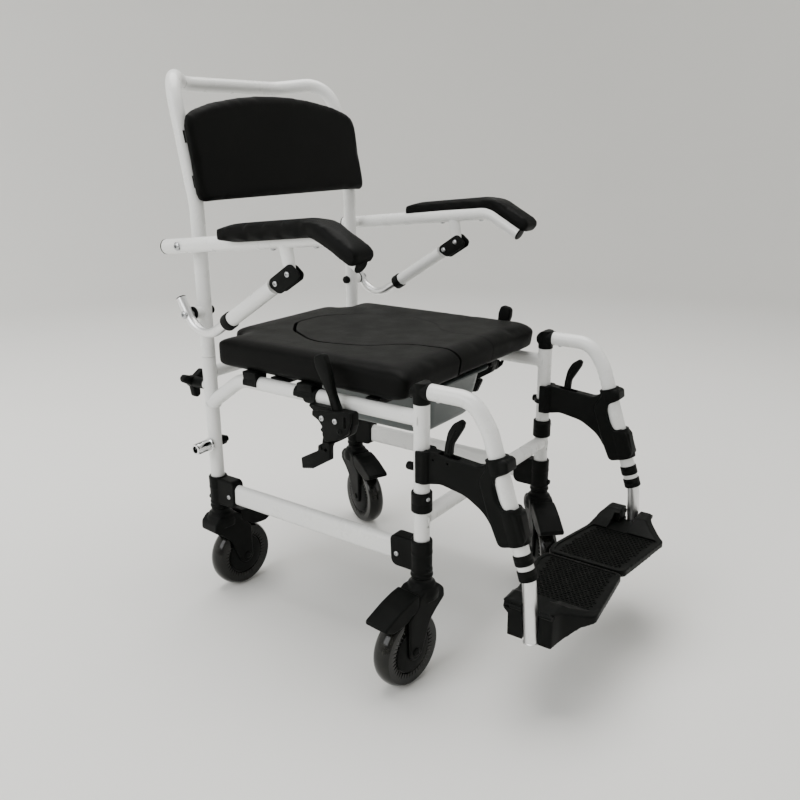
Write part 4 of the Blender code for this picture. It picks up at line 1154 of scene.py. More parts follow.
elbow_side = rounded(
    [(-POST_Y + 0.0136, 0.464), (-POST_Y + 0.0136, 0.498), (-0.249, 0.498), (-0.249, 0.464)],
    [0.0, 0.021, 0.0, 0.0],
    10,
)
elbow = carve(
    merge(
        bar_z(RX, -POST_Y, 0.45, 0.51, 0.0138, 48),
        bar_y(RX, -POST_Y + 0.03, -0.26, HANGER_Z, 0.0136, 48),
    ),
    plate(elbow_side, RX - 0.02, RX + 0.02),
    how="INTERSECT",
)
elbow = mould(elbow, 0.0008, 3)
spigot = bar_z(RX, -POST_Y, 0.438, 0.47, 0.0099, 32)
settle_pair(gather(elbow, spigot), "hanger_elbow_fitting", "leg_*", NYLON, ["hanger_elbow"], 40)
hanger_path = [(RX, -0.2484, HANGER_Z), (RX, -0.3225, HANGER_Z), (RX, -0.35, 0.443), on_hanger(0.239)]
HANGER_BENDS = [0.045, 0.08]
hanger = bent_tube(hanger_path, TUBE, HANGER_BENDS, 40)
settle_pair(hanger, "bent_hanger_tube", "leg_*", WHITE, ["hanger_tube"], 40)
under_screw = socket_screw((RX, -0.262, HANGER_Z - TUBE + 0.0002), (0, 0, -1), 0.0034, 0.0022)
settle_pair(under_screw, "hanger_screw", "leg_*", ZINC)
rings = []
for top, bottom in ((0.2668, 0.2512), (0.2444, 0.2284)):
    length = (top - bottom) / -HANGER_DOWN.z
    profile = [
        (0.0105, 0.0), (RING_R - 0.0012, 0.0), (RING_R, 0.0012), (RING_R, length * 0.45),
        (RING_R - 0.0004, length * 0.5), (RING_R, length * 0.55), (RING_R, length - 0.0012),
        (RING_R - 0.0012, length), (0.0105, length),
    ]
    rings.append(lathe(profile, on_hanger(top), HANGER_DOWN))
settle_pair(gather(*rings), "hanger_rings", "leg_*", NYLON)

# %% [markdown]
# The big black bracket is the strongest moulding on the chair. It sits as a saddle on the front
# of the post above the stop collar, and a thin strap with a latch knob closes it behind. It
# reaches forward in an arch and holds the hanger tube in two ears with an open window between
# them. It is built as a web with two collars, cut for the tubes, and moulded.

# %% Hanger brackets
web = rounded(
    [
        (-0.218, 0.39), (-0.235, 0.396), (-0.25, 0.3945), (-0.337, 0.387), (-0.356, 0.401),
        (-0.376, 0.411), (-0.386, 0.407), (-0.388, 0.393), (-0.37, 0.378), (-0.366, 0.366),
        (-0.374, 0.342), (-0.386, 0.332), (-0.408, 0.332), (-0.418, 0.293), (-0.408, 0.277),
        (-0.376, 0.273), (-0.369, 0.287), (-0.348, 0.318), (-0.315, 0.3375), (-0.272, 0.345),
        (-0.253, 0.341), (-0.22, 0.341),
    ],
    [
        0.006, 0.01, 0.02, 0.02, 0.012, 0.01, 0.006, 0.006, 0.012, 0.012, 0.012, 0.012, 0.006, 0.01,
        0.006, 0.006, 0.03, 0.06, 0.06, 0.03, 0.01, 0.004,
    ],
)
holder = plate(web, RX - 0.0098, RX + 0.0098, rim=0.002)
cheeks = rounded(
    [
        (-0.34, 0.37), (-0.356, 0.399), (-0.378, 0.41), (-0.386, 0.406), (-0.388, 0.3915),
        (-0.369, 0.38), (-0.3655, 0.366), (-0.37, 0.348), (-0.383, 0.335), (-0.395, 0.338),
        (-0.405, 0.33), (-0.418, 0.293), (-0.408, 0.277), (-0.376, 0.273), (-0.36, 0.308),
    ],
    [
        0.02, 0.012, 0.008, 0.004, 0.004, 0.008, 0.012, 0.012, 0.008, 0.006, 0.008, 0.006, 0.006,
        0.01, 0.03,
    ],
)
holder = merge(holder, plate(cheeks, RX - 0.0158, RX + 0.0158, rim=0.0045))
hook = plate(
    rounded(
        [
            (RX - 0.0185, -POST_Y - 0.014), (RX - 0.012, -POST_Y - 0.02),
            (RX + 0.012, -POST_Y - 0.02), (RX + 0.0185, -POST_Y - 0.014),
            (RX + 0.0185, -POST_Y + 0.001), (RX - 0.0185, -POST_Y + 0.001),
        ],
        [0.006, 0.006, 0.006, 0.006, 0.0015, 0.0015],
        4,
    ),
    0.341,
    0.3935,
    "XY",
    rim=0.001,
)
holder = merge(
    holder, hook, bar(on_hanger(0.407), on_hanger(0.385), 0.0176, 48),
    bar(on_hanger(0.333), on_hanger(0.2755), 0.018, 48),
)
front_room = bent_tube(hanger_path, TUBE + 0.0003, HANGER_BENDS, 48)
holder = carve(
    holder,
    front_room,
    bar_z(RX, -POST_Y, 0.3, 0.42, TUBE + 0.0009, 48),
    plate(oblong(RX - 0.0118, RX + 0.0118, -0.229, -0.19), 0.33, 0.41, "XY"),
    plate(oblong(RX - 0.0055, RX + 0.0055, -0.301, -0.266), 0.372, 0.42, "XY"),
    bar_x(RX - 0.03, RX - 0.006, -0.259, 0.382, 0.0016, 16),
    bar_x(RX - 0.03, RX - 0.006, -0.285, 0.3815, 0.0019, 16),
    bar(on_hanger(0.2812), on_hanger(0.25), 0.031, 32),
)
holder = mould(holder)
knob_base = (RX - 0.0045, -POST_Y + 0.015, 0.3616)
latch = lathe(
    [(0.0, -0.003), (0.0066, -0.003), (0.0068, 0.005), (0.006, 0.0078), (0.0, 0.0086)],
    knob_base,
    (0, 1, 0),
    32,
)
strap = carve(
    bar_z(RX, -POST_Y, 0.358, 0.3652, TUBE + 0.0038, 48),
    bar_z(RX, -POST_Y, 0.35, 0.38, TUBE + 0.0009, 48),
    plate(oblong(RX - 0.03, RX - 0.006, -0.26, -0.2), 0.35, 0.38, "XY"),
)
settle_pair(
    gather(holder, latch, strap), "hanger_bracket_moulding", "leg_*", NYLON, ["hanger_bracket"], 40,
)

# %% [markdown]
# A finger lever stands in the bracket's slot and frees the leg rest to swing. It is a thin blade
# with a curve for the thumb and a rib down its middle.

# %% Release levers
blade = rounded(
    [
        (-0.2745, 0.376), (-0.286, 0.376), (-0.2875, 0.395), (-0.2885, 0.409), (-0.2975, 0.424),
        (-0.3065, 0.439), (-0.3085, 0.448), (-0.302, 0.452), (-0.29, 0.444), (-0.281, 0.429),
        (-0.2765, 0.408), (-0.2745, 0.39),
    ],
    [0.004, 0.004, 0.02, 0.02, 0.03, 0.01, 0.003, 0.004, 0.02, 0.03, 0.03, 0.02],
)
finger = plate(blade, RX - 0.0048, RX + 0.0048, rim=0.0016)
ridge = rounded(
    [
        (-0.2795, 0.396), (-0.2835, 0.396), (-0.285, 0.412), (-0.296, 0.433), (-0.2935, 0.435),
        (-0.282, 0.415),
    ],
    [0.001, 0.001, 0.02, 0.001, 0.001, 0.02],
    3,
)
finger = gather(finger, plate(ridge, RX - 0.0057, RX + 0.0057, rim=0.0008))
settle_pair(finger, "finger_lever", "leg_release_*", NYLON, ["release_lever"], 40)

# %% [markdown]
# The bare extension tube slides in the hanger to set the leg length. It bends a little towards
# the foot and ends in a rolled lip below the footplate.

# %% Extension tubes
inner_path = [HANGER_END - HANGER_DOWN * 0.02, (RX, -0.4215, 0.2255), (RX, -0.4285, 0.1262)]
extension = bent_tube(inner_path, 0.0108, [0.06], 40)
foot_axis = (Vector(inner_path[2]) - Vector(inner_path[1])).normalized()
lip = lathe(
    [
        (0.0, -0.003), (0.0106, -0.003), (0.012, -0.002), (0.0122, -0.0008), (0.0116, 0.0),
        (0.0092, 0.0), (0.0, -0.0008),
    ],
    inner_path[2],
    foot_axis,
    44,
)
settle_pair(gather(extension, lip), "bare_extension", "extension_*", ALUMINIUM, ["extension_tube"], 40)

# %% [markdown]
# A footplate is a ribbed moulding with a raised rim round a recessed tread. Small raised dashes
# in staggered rows stop a shoe from sliding. One cheek in front of the tube and one behind it
# carry the hinge pins, and two small holes at the inner edge drain water.

# %% Footplate mouldings
HINGE_Z = 0.177
TREAD_Z = 0.1655
board_outline = rounded(
    [
        (-0.0035, -0.352), (-0.0035, -0.487), (-0.146, -0.504), (-0.166, -0.485), (-0.188, -0.466),
        (-0.208, -0.46), (-0.208, -0.379), (-0.185, -0.3775), (-0.12, -0.364), (-0.03, -0.348),
    ],
    [0.01, 0.01, 0.012, 0.04, 0.03, 0.004, 0.004, 0.02, 0.05, 0.012],
)
board = plate(board_outline, 0.12, TREAD_Z, "XY")
ramp_across = rounded(
    [
        (-0.112, 0.13), (-0.112, TREAD_Z - 0.001), (-0.138, TREAD_Z + 0.001), (-0.163, 0.176),
        (-0.18, 0.188), (-0.206, 0.188), (-0.214, 0.182), (-0.214, 0.13),
    ],
    [0.0, 0.0, 0.04, 0.03, 0.008, 0.006, 0.006, 0.0],
    5,
)
ramp_along = rounded(
    [
        (-0.515, 0.13), (-0.515, TREAD_Z - 0.001), (-0.494, TREAD_Z + 0.001), (-0.472, 0.175),
        (-0.46, 0.183), (-0.42, 0.183), (-0.41, 0.188), (-0.385, 0.188), (-0.376, 0.18),
        (-0.356, TREAD_Z + 0.001), (-0.34, TREAD_Z - 0.001), (-0.34, 0.13),
    ],
    [0.0, 0.0, 0.02, 0.02, 0.006, 0.002, 0.002, 0.006, 0.01, 0.02, 0.0, 0.0],
    5,
)
shoulder = carve(
    plate(ramp_across, -0.52, -0.34, "XZ"), plate(ramp_along, -0.23, -0.105),
    plate(board_outline, 0.12, 0.21, "XY"), how="INTERSECT",
)
under_side = rounded(
    [
        (0.02, 0.1), (0.02, 0.153), (-0.14, 0.155), (-0.164, 0.148), (-0.188, 0.131),
        (-0.206, 0.1255), (-0.25, 0.1255), (-0.25, 0.1),
    ],
    [0, 0, 0.03, 0.02, 0.02, 0.01, 0, 0],
    5,
)
under = plate(under_side, -0.55, -0.3, "XZ")
board = mould(carve(merge(board, shoulder), under), 0.0015, 5)
field = rounded(
    [
        (-0.0095, -0.359), (-0.0095, -0.4808), (-0.134, -0.4958), (-0.139, -0.49), (-0.139, -0.376),
        (-0.118, -0.371), (-0.032, -0.3555),
    ],
    [0.006, 0.006, 0.008, 0.006, 0.006, 0.03, 0.006],
    5,
)
way_for_tube = oblong(-0.3, -0.1945, 0.09, 0.22)
way_for_ring = oblong(-0.174, -0.13, TREAD_Z, 0.22)
heel_step = [(-0.3885, 0.1), (-0.3885, 0.163), (-0.3805, 0.17), (-0.36, 0.17), (-0.36, 0.1)]
way_when_folded = oblong(-0.3, -0.13, TREAD_Z, 0.22)
board = carve(
    board, plate(field, TREAD_Z - 0.0014, TREAD_Z + 0.01, "XY"),
    plate(way_for_tube, -0.4398, -0.4126, "XZ"), plate(way_when_folded, -0.44, -0.411, "XZ"),
    plate(way_for_ring, -0.44, -0.402, "XZ"), plate(heel_step, -0.25, -0.175),
    bar_y(RX, -0.48, -0.458, HINGE_Z, 0.0048, 28), bar_y(RX, -0.395, -0.37, HINGE_Z, 0.0048, 28),
)
for x, y in ((-0.018, -0.368), (-0.018, -0.474)):
    board = carve(board, bar_z(x, y, 0.155, 0.2, 0.0017, 12))
pins = gather(
    bar_y(RX, -0.461, -0.4402, HINGE_Z, 0.0038, 24),
    bar_y(RX, -0.412, -0.392, HINGE_Z, 0.0038, 24),
)
print("footplate moulding has", len(board.data.polygons), "faces")

# %% [markdown]
# A dash is drawn once as a small pill lying front to back. Close rows of them cover the whole
# tread, every second row moved on by half a step.

# %% Anti-slip dashes
ROW_STEP = 0.0059
DASH_STEP = 0.0082
pill_outline = rounded(oblong(-0.0009, 0.0009, -0.0029, 0.0029), 0.00085, 2)
pill = plate(pill_outline, 0, 0.0024, "XY")
dashes = []
for row in range(21):
    x = -0.016 - ROW_STEP * row
    front = -0.479 + 0.119 * (x + 0.0095)
    rear = -0.364 + 0.15 * (x + 0.03)
    for column in range(16):
        y = -0.362 - DASH_STEP * column - (DASH_STEP / 2 if row % 2 else 0.0)
        if front + 0.005 < y < rear - 0.004:
            dashes.append(twin(pill, Matrix.Translation((x, y, TREAD_Z - 0.0024))))
discard(pill)
print(len(dashes), "dashes on a tread")
board = gather(board, *dashes)
settle_pair(board, "ribbed_footplate", "foot_*", NYLON, ["footplate"], 40)
settle_pair(pins, "footplate_hinge_pins", "foot_*", NYLON)

# %% [markdown]
# The wheel lock hangs from the seat rail: a moulded bracket with a round lower lobe and a cover
# plate with two silver screws, a flat hand lever behind the cover, and a bent shoe that would
# press on a large wheel. The left one stands in its other position, as in the photograph.

# %% Lock brackets
LOCK_PIVOT = (-0.105, 0.405)
SHOE_PIVOT = (-0.058, 0.366)
lock_outline = rounded(
    [
        (-0.021, 0.433), (-0.035, 0.423), (-0.054, 0.4), (-0.056, 0.388), (-0.052, 0.372),
        (-0.053, 0.359), (-0.062, 0.357), (-0.068, 0.37), (-0.086, 0.379), (-0.112, 0.395),
        (-0.118, 0.412), (-0.118, 0.433),
    ],
    [0.003, 0.008, 0.012, 0.006, 0.006, 0.005, 0.004, 0.01, 0.01, 0.012, 0.008, 0.003],
)
lock = plate(lock_outline, RX - 0.0242, RX - 0.008, rim=0.0018)
inset_face = rounded([(-0.06, 0.405), (-0.061, 0.386), (-0.086, 0.388), (-0.093, 0.401)], 0.005, 4)
lock = carve(
    lock,
    bar_y(RX, -0.2, 0.1, SEAT_RAIL_Z, TUBE + 0.0004, 48),
    plate(inset_face, RX - 0.03, RX - 0.0226),
)
rail_band = carve(
    bar_y(RX, -0.112, -0.086, SEAT_RAIL_Z, TUBE + 0.0022, 48),
    bar_y(RX, -0.2, 0.1, SEAT_RAIL_Z, TUBE + 0.0003, 48),
)
rear_band = twin(rail_band, Matrix.Translation((0.0, 0.08, 0.0)))
pivots = [
    bar((RX - 0.022, *LOCK_PIVOT), (RX - 0.04, *LOCK_PIVOT), 0.0042, 24),
    bar((RX - 0.022, -0.061, 0.401), (RX - 0.039, -0.069, 0.401), 0.004, 24),
    bar((RX - 0.022, *SHOE_PIVOT), (RX - 0.0368, *SHOE_PIVOT), 0.0032, 24),
]
cover_outline = rounded(
    [
        (-0.0483, 0.4302), (-0.0479, 0.4218), (-0.0607, 0.4158), (-0.0681, 0.4067),
        (-0.0682, 0.3919), (-0.0723, 0.3843), (-0.0801, 0.3827), (-0.1087, 0.394),
        (-0.1204, 0.4047), (-0.1278, 0.4246), (-0.1282, 0.439), (-0.1129, 0.4391),
    ],
    [0.002, 0.002, 0.006, 0.006, 0.004, 0.004, 0.004, 0.01, 0.006, 0.006, 0.002, 0.002],
    5,
)
cover = plate(cover_outline, RX - 0.0412, RX - 0.0376, rim=0.0014)
window = rounded(oblong(-0.113, -0.118, 0.431, 0.412), 0.001, 2)
cover = carve(cover, plate(window, RX - 0.05, RX - 0.03))
discard(rail_band)
lock = gather(lock, cover, rear_band, *pivots)
settle_pair(lock, "lock_bracket_moulding", "frame", NYLON, ["lock_bracket"], 36)
lock_screws = [
    socket_screw((RX - 0.041, y, 0.4205), (-1, 0, 0), 0.0046, 0.0026) for y in (-0.0688, -0.0958)
]
settle_pair(gather(*lock_screws), "lock_screws", "frame", ZINC)
pivot_heads = gather(
    socket_screw((RX - 0.041, *LOCK_PIVOT), (-1, 0, 0), 0.0052, 0.0018),
    socket_screw((RX - 0.0352, *SHOE_PIVOT), (-1, 0, 0), 0.004, 0.0018),
)
settle_pair(pivot_heads, "lock_pivot_heads", "frame", NYLON)

# %% [markdown]
# The lever is drawn upright about its pivot and then leaned: forward on the right side, back on
# the left. A waist separates the flat shank from the grip.

# %% Lock levers and shoes
LEVER_REST = math.radians(24)
LEVER_FAR = math.radians(-9)
LEVER_SET = math.radians(3.5)
SHOE_RATIO = 0.7
lever_side = rounded(
    [
        (-0.01, -0.01), (0.01, -0.01), (0.008, 0.03), (0.0068, 0.06), (0.0095, 0.08),
        (0.0135, 0.108), (0.011, 0.125), (-0.011, 0.125), (-0.0135, 0.108), (-0.0095, 0.08),
        (-0.0068, 0.06), (-0.008, 0.03),
    ],
    [0.009, 0.009, 0.02, 0.02, 0.02, 0.01, 0.008, 0.008, 0.01, 0.02, 0.02, 0.02],
)
for word, side, lean in (("right", -1, LEVER_REST), ("left", 1, LEVER_FAR)):
    lever = plate(lever_side, -0.0058, 0.0058, rim=0.0024)
    panel = rounded(oblong(-0.0045, 0.0045, 0.012, 0.048), 0.002, 3)
    lever = carve(lever, plate(panel, -0.01, -0.0046), plate(panel, 0.0046, 0.01))
    home = Matrix.Translation((side * (POST_X + 0.0309), *LOCK_PIVOT))
    lever.data.transform(home @ Matrix.Rotation(LEVER_SET - lean, 4, "X"))
    body = f"lock_lever_body_{word}"
    settle(lever, f"hand_lever_{word}", body, NYLON, [f"lock_lever_{word}"], 36)
shoe_side = rounded(
    [
        (-0.078, 0.38), (-0.058, 0.373), (-0.052, 0.369), (-0.053, 0.361), (-0.015, 0.34),
        (-0.016, 0.3215), (-0.042, 0.3275), (-0.077, 0.349),
    ],
    [0.004, 0.008, 0.005, 0.006, 0.0015, 0.0015, 0.012, 0.003],
)
for word, side, turn in (("right", -1, 0.0), ("left", 1, SHOE_RATIO * (LEVER_REST - LEVER_FAR))):
    shoe = plate(shoe_side, -0.0053, 0.0053, rim=0.0012)
    shoe = carve(shoe, bar_x(-0.02, 0.02, -0.069, 0.365, 0.003, 20))
    teeth = []
    for k in range(5):
        y = -0.02 - 0.0048 * k
        z = 0.323 + 0.001 * k
        teeth.append(bar_x(-0.005, 0.005, y, z, 0.0011, 10))
    shoe = gather(shoe, *teeth)
    pivot = Vector((0.0, *SHOE_PIVOT))
    spin = about(pivot, Matrix.Rotation(turn, 4, "X"))
    shoe.data.transform(Matrix.Translation((side * (POST_X + 0.0296), 0.0, 0.0)) @ spin)
    body = f"lock_shoe_body_{word}"
    settle(shoe, f"brake_shoe_{word}", body, NYLON, [f"lock_shoe_{word}"], 36)

# %% [markdown]
# The pan is a deep tray with rounded corners, drawn as rings of one outline: up the outside,
# over the rolled rim and down the inside. A row of PAN_RINGS holds half the width, the front, the
# rear, the corner radius and the height. The pan slides out on a black carrier, two channels that
# hold its rim with a bar behind, hooked over the seat rails.

# %% Pan


def ring_loft(rings):
    """The first ring is a filled outline; every next ring is an extrusion moved to its place."""
    count = len(rings[0])
    thing = new_ring(count)
    for corner, point in zip(thing.data.vertices, rings[0]):
        corner.co = point
    edit(thing)
    all_of_it()
    for before, after in zip(rings, rings[1:]):
        extrude((0.0, 0.0, 0.0))
        work = bmesh.from_edit_mesh(thing.data)
        chosen = [corner for corner in work.verts if corner.select]
        homes = [
            min(range(count), key=lambda k: (Vector(before[k]) - corner.co).length) for corner in chosen
        ]
        for corner, k in zip(chosen, homes):
            corner.co = after[k]
        bmesh.update_edit_mesh(thing.data)
    leave_edit()
    return thing


def tray_ring(half, y0, y1, corner, z):
    outline = rounded(oblong(-half, half, y0, y1), corner, 8)
    return [(a, b, z) for a, b in outline]


PAN_RINGS = (
    (0.075, -0.142, 0.07, 0.026, 0.3595), (0.08, -0.147, 0.075, 0.03, 0.3603),
    (0.084, -0.151, 0.079, 0.033, 0.3645), (0.086, -0.153, 0.081, 0.034, 0.371),
    (0.095, -0.162, 0.088, 0.035, 0.415), (0.0995, -0.1665, 0.0915, 0.036, 0.4405),
    (0.101, -0.168, 0.093, 0.036, 0.4425), (0.104, -0.171, 0.095, 0.037, 0.4432),
    (0.112, -0.179, 0.096, 0.04, 0.4432), (0.113, -0.18, 0.0965, 0.04, 0.444),
    (0.113, -0.18, 0.0965, 0.04, 0.446), (0.112, -0.179, 0.096, 0.04, 0.447),
    (0.0995, -0.1665, 0.0915, 0.035, 0.447), (0.0975, -0.1645, 0.0895, 0.034, 0.4455),
    (0.0925, -0.1595, 0.0855, 0.034, 0.415), (0.083, -0.15, 0.078, 0.033, 0.371),
    (0.0805, -0.1475, 0.0755, 0.032, 0.365), (0.075, -0.142, 0.07, 0.028, 0.3622),
)
pan = ring_loft([tray_ring(*row) for row in PAN_RINGS])
settle(pan, "moulded_pan", "pan", PAN, ["commode_pan"], 50)
channels = []
for side in (-1, 1):
    low, high = sorted((side * 0.1075, side * 0.1265))
    channel_end = oblong(low, high, 0.4385, 0.4525)
    channel = plate(channel_end, -0.17, 0.13, "XZ", rim=0.0012)
    low, high = sorted((side * 0.09, side * 0.1134))
    slot = oblong(low, high, 0.4426, 0.4474)
    channels.append(carve(channel, plate(slot, -0.25, 0.11, "XZ")))
    x = side * POST_X
    for y0, y1 in ((-0.15, -0.125), (0.055, 0.08)):
        strap_end = rounded(oblong(side * 0.1245, x, 0.444, 0.4556), 0.0015, 2)
        strap = plate(strap_end, y0, y1, "XZ", rim=0.001)
        channels.append(carve(strap, bar_y(x, -0.25, 0.14, SEAT_RAIL_Z, TUBE + 0.0006, 48)))
back_side = oblong(0.12, 0.145, 0.439, 0.452)
back_bar = plate(back_side, -0.1265, 0.1265, rim=0.0015)
carrier = gather(back_bar, *channels)
settle(carrier, "pan_channels", "frame", NYLON, ["pan_carrier"], 36)

# %% [markdown]
# Soft parts are blown up a little from a smaller form. The form is remeshed into even squares,
# the cloth solver pushes them outwards with air pressure, and no point may move further than a
# small cap, because skinned foam is firm. That crowns the faces and pulls the edges in.

# %% Blowing up a pad
PUFF_FRAMES = 20


def puff(thing, voxel, cap, pressure=4.0):
    modify(thing, "REMESH", mode="VOXEL", voxel_size=voxel)
    still = [corner.co.copy() for corner in thing.data.vertices]
    cloth = thing.modifiers.new("blown", "CLOTH")
    cloth.settings.use_pressure = True
    cloth.settings.uniform_pressure_force = pressure
    cloth.settings.effector_weights.gravity = 0.0
    cloth.settings.quality = 4
    for moment in range(1, PUFF_FRAMES + 1):
        bpy.context.scene.frame_set(moment)
    pick(thing)
    bpy.ops.object.modifier_apply(modifier=cloth.name)
    for corner, home in zip(thing.data.vertices, still):
        step = corner.co - home
        if step.length > cap:
            corner.co = home + step.normalized() * cap
    bpy.context.scene.frame_set(1)
    modify(thing, "SMOOTH", factor=0.5, iterations=3)
    return modify(thing, "SUBSURF", levels=1, render_levels=1)


print("puff is ready")

# %% [markdown]
# The backrest is a flat moulded pad with an arched top and tight soft edges. It leans with the
# uprights, and four small saddle blocks keep it off the tube.

# %% Backrest
PAD_SIDE = 0.2286
PAD_HALF_HEIGHT = 0.094
PAD_MIDDLE_Z = 0.832
PAD_INSET = 0.004
PAD_Y = 0.2085
PAD_FOOT_Z = 0.74
PAD_LEAN = 0.17
top_half = [
    (PAD_SIDE, 0.868), (0.224, 0.885), (0.204, 0.897), (0.163, 0.9095), (0.1, 0.9195),
    (0.05, 0.9242),
]
pad_points = [(-PAD_SIDE, 0.735), (PAD_SIDE, 0.735)] + top_half + [(0.0, 0.9255)]
pad_points += [(-x, z) for x, z in reversed(top_half)]
pad_radii = [0.014, 0.014, 0.02, 0.03, 0.06, 0.05, 0.05, 0.05, 0.05, 0.05, 0.05, 0.05, 0.06, 0.03, 0.02]
narrower = 1 - PAD_INSET / PAD_SIDE
lower = 1 - PAD_INSET / PAD_HALF_HEIGHT
small = [(x * narrower, PAD_MIDDLE_Z + (z - PAD_MIDDLE_Z) * lower) for x, z in pad_points]
backrest = plate(rounded(small, pad_radii, 5), -0.0068, 0.0068, "XZ", rim=0.003)
backrest = puff(backrest, 0.004, 0.0042)
for corner in backrest.data.vertices:
    corner.co.y += PAD_Y + PAD_LEAN * (corner.co.z - PAD_FOOT_Z)
settle(backrest, "backrest_cushion", "back", FOAM, ["backrest_pad"], 60, padded=FOAM_FILL)
saddles = []
for side in (-1, 1):
    for z in (0.775, 0.848):
        near = PAD_Y + PAD_LEAN * (z - PAD_FOOT_Z) + 0.006
        far = POST_Y + (z - KINK_Z) * BACK_SLOPE - 0.003
        x = side * POST_X
        block = plate(oblong(x - 0.007, x + 0.007, z - 0.01, z + 0.01), near, far, "XZ", rim=0.0015)
        saddles.append(block)
saddles = carve(gather(*saddles), bent_tube(back_path, TUBE + 0.0003, BACK_BENDS, 40))
settle(saddles, "backrest_saddles", "back", NYLON)

# %% [markdown]
# An arm pad is a long moulded block that follows the bend of its tube and ends in a blunt nose.
# It is blown up first and then hollowed along its underside where the tube lies in it.

# %% Arm pads
arm_side = rounded(
    [
        (0.1105, 0.6895), (-0.084, 0.7103), (-0.16, 0.668), (-0.1735, 0.6835), (-0.164, 0.695),
        (-0.1, 0.7315), (0.09, 0.7122), (0.111, 0.708),
    ],
    [0.001, 0.06, 0.004, 0.01, 0.02, 0.05, 0.03, 0.005],
)
arm_pad = plate(arm_side, -0.2802, -0.2328, rim=0.0035)
arm_pad = puff(arm_pad, 0.004, 0.0044)
groove = bent_tube([ARM_BACK, ARM_BEND, ARM_TIP + (ARM_TIP - ARM_BEND)], TUBE + 0.0003, [0.06], 40)
arm_pad = carve(arm_pad, groove)
settle_pair(arm_pad, "arm_cushion", "arm_*", FOAM, ["arm_pad"], 50, padded=FOAM_FILL)

# %% [markdown]
# The seat is one thick moulded cushion with a keyhole opening under a fitted lid. The whole
# cushion is blown up in one piece, so the lid lies flush, and then parted along the keyhole with
# a narrow gap. The lid stands a little to one side in it. The seat's middle is dished a little,
# its underside rises at the rear, and the front edge rolls over like a waterfall, to spare the
# back of the knees.

# %% Seat cushion
SEAT_LOW = 0.4565
SEAT_TOP = 0.5085
DISH_DEPTH = 0.0035
DISH_HALF_X = 0.185
DISH_HALF_Y = 0.19
DISH_Y = 0.01
ROLL_Y = -0.168
ROLL_RUN = 0.047
ROLL_FALL = 0.012
HEEL_Y = 0.195
HEEL_RUN = 0.055
HEEL_RISE = 0.009
SEAM = 0.0029
LID_SHIFT = 0.0024
seat_plan = rounded(
    [
        (-0.219, -0.2125), (0.219, -0.2125), (0.219, 0.205), (0.148, 0.206), (0.136, 0.2465),
        (-0.136, 0.2465), (-0.148, 0.206), (-0.219, 0.205),
    ],
    [0.016, 0.016, 0.014, 0.018, 0.024, 0.024, 0.018, 0.014],
    8,
)
cushion = plate(seat_plan, SEAT_LOW + 0.004, SEAT_TOP - 0.004, "XY", rim=0.006, segments=4)
cushion = puff(cushion, 0.005, 0.005)
for corner in cushion.data.vertices:
    high = (corner.co.z - SEAT_LOW) / (SEAT_TOP - SEAT_LOW)
    across = max(0.0, 1.0 - (corner.co.x / DISH_HALF_X) ** 2)
    dish = across * max(0.0, 1.0 - ((corner.co.y - DISH_Y) / DISH_HALF_Y) ** 2)
    run = max(0.0, ROLL_Y - corner.co.y) / ROLL_RUN
    corner.co.z -= ROLL_FALL * run * run * high + DISH_DEPTH * dish * max(0.0, high)
    corner.co.y += 0.008 * min(run, 1.0) * (1.0 - high)
    corner.co.z += 0.004 * min(run, 1.0) * (1.0 - high)
    rear = max(0.0, corner.co.y - HEEL_Y) / HEEL_RUN
    corner.co.z += HEEL_RISE * min(rear, 1.0) * (1.0 - high)
KEY = [
    (0.056, -0.125), (0.066, -0.09), (0.11, -0.05), (0.133, 0.03), (0.128, 0.062), (0.09, 0.133),
    (0.037, 0.176),
]
KEY_RADII = [0.05, 0.06, 0.09, 0.09, 0.09, 0.09, 0.06]


def keyhole(inset, low, high):
    right = [(x - inset, y - (inset if y > 0.1 else 0.0)) for x, y in KEY]
    left = [(-x, y) for x, y in reversed(right)]
    points = [(right[0][0], -0.3)] + right + left + [(left[-1][0], -0.3)]
    radii = [0.0] + KEY_RADII + KEY_RADII[::-1] + [0.0]
    return plate(rounded(points, radii, 8), low, high, "XY")


lid = twin(cushion, Matrix.Identity(4))
ring = carve(cushion, keyhole(-0.0004, 0.4655, 0.6), keyhole(0.008, 0.4, 0.6))
inside_key = keyhole(SEAM, 0.466, 0.6)
inside_key.data.transform(Matrix.Translation((LID_SHIFT, 0.0, 0.0)))
lid = carve(lid, inside_key, how="INTERSECT")
LIP_ANGLE = math.radians(62)
for part in (ring, lid):
    modify(part, "BEVEL", width=0.0008, segments=2, limit_method="ANGLE", angle_limit=LIP_ANGLE)
settle(ring, "seat_cushion", "seat", FOAM, ["seat_pad"], 45, padded=FOAM_FILL)
settle(lid, "seat_lid_cushion", "cover", FOAM, ["seat_cover"], 45, padded=FOAM_FILL)

# %% [markdown]
# Four black clips under the seat snap over the rails. They are short saddles, open downwards, so
# the seat lifts straight off.

# %% Rail clips
clips = []
for side in (-1, 1):
    x = side * POST_X
    for y0, y1 in ((0.102, 0.133), (-0.025, 0.007)):
        band = bar_y(x, y0, y1, SEAT_RAIL_Z, TUBE + 0.0026, 48)
        neck = rounded(
            [(x - 0.012, 0.44), (x + 0.012, 0.44), (x + 0.015, 0.461), (x - 0.015, 0.461)],
            0.002,
            3,
        )
        clip = merge(band, plate(neck, y0, y1, "XZ", rim=0.001))
        way_in = oblong(x - 0.02, x + 0.02, 0.42, 0.4362)
        tube_room = bar_y(x, y0 - 0.01, y1 + 0.01, SEAT_RAIL_Z, TUBE + 0.0006, 48)
        clips.append(carve(clip, tube_room, plate(way_in, y0 - 0.01, y1 + 0.01, "XZ")))
settle(gather(*clips), "seat_rail_clips", "seat", NYLON, (), 36)
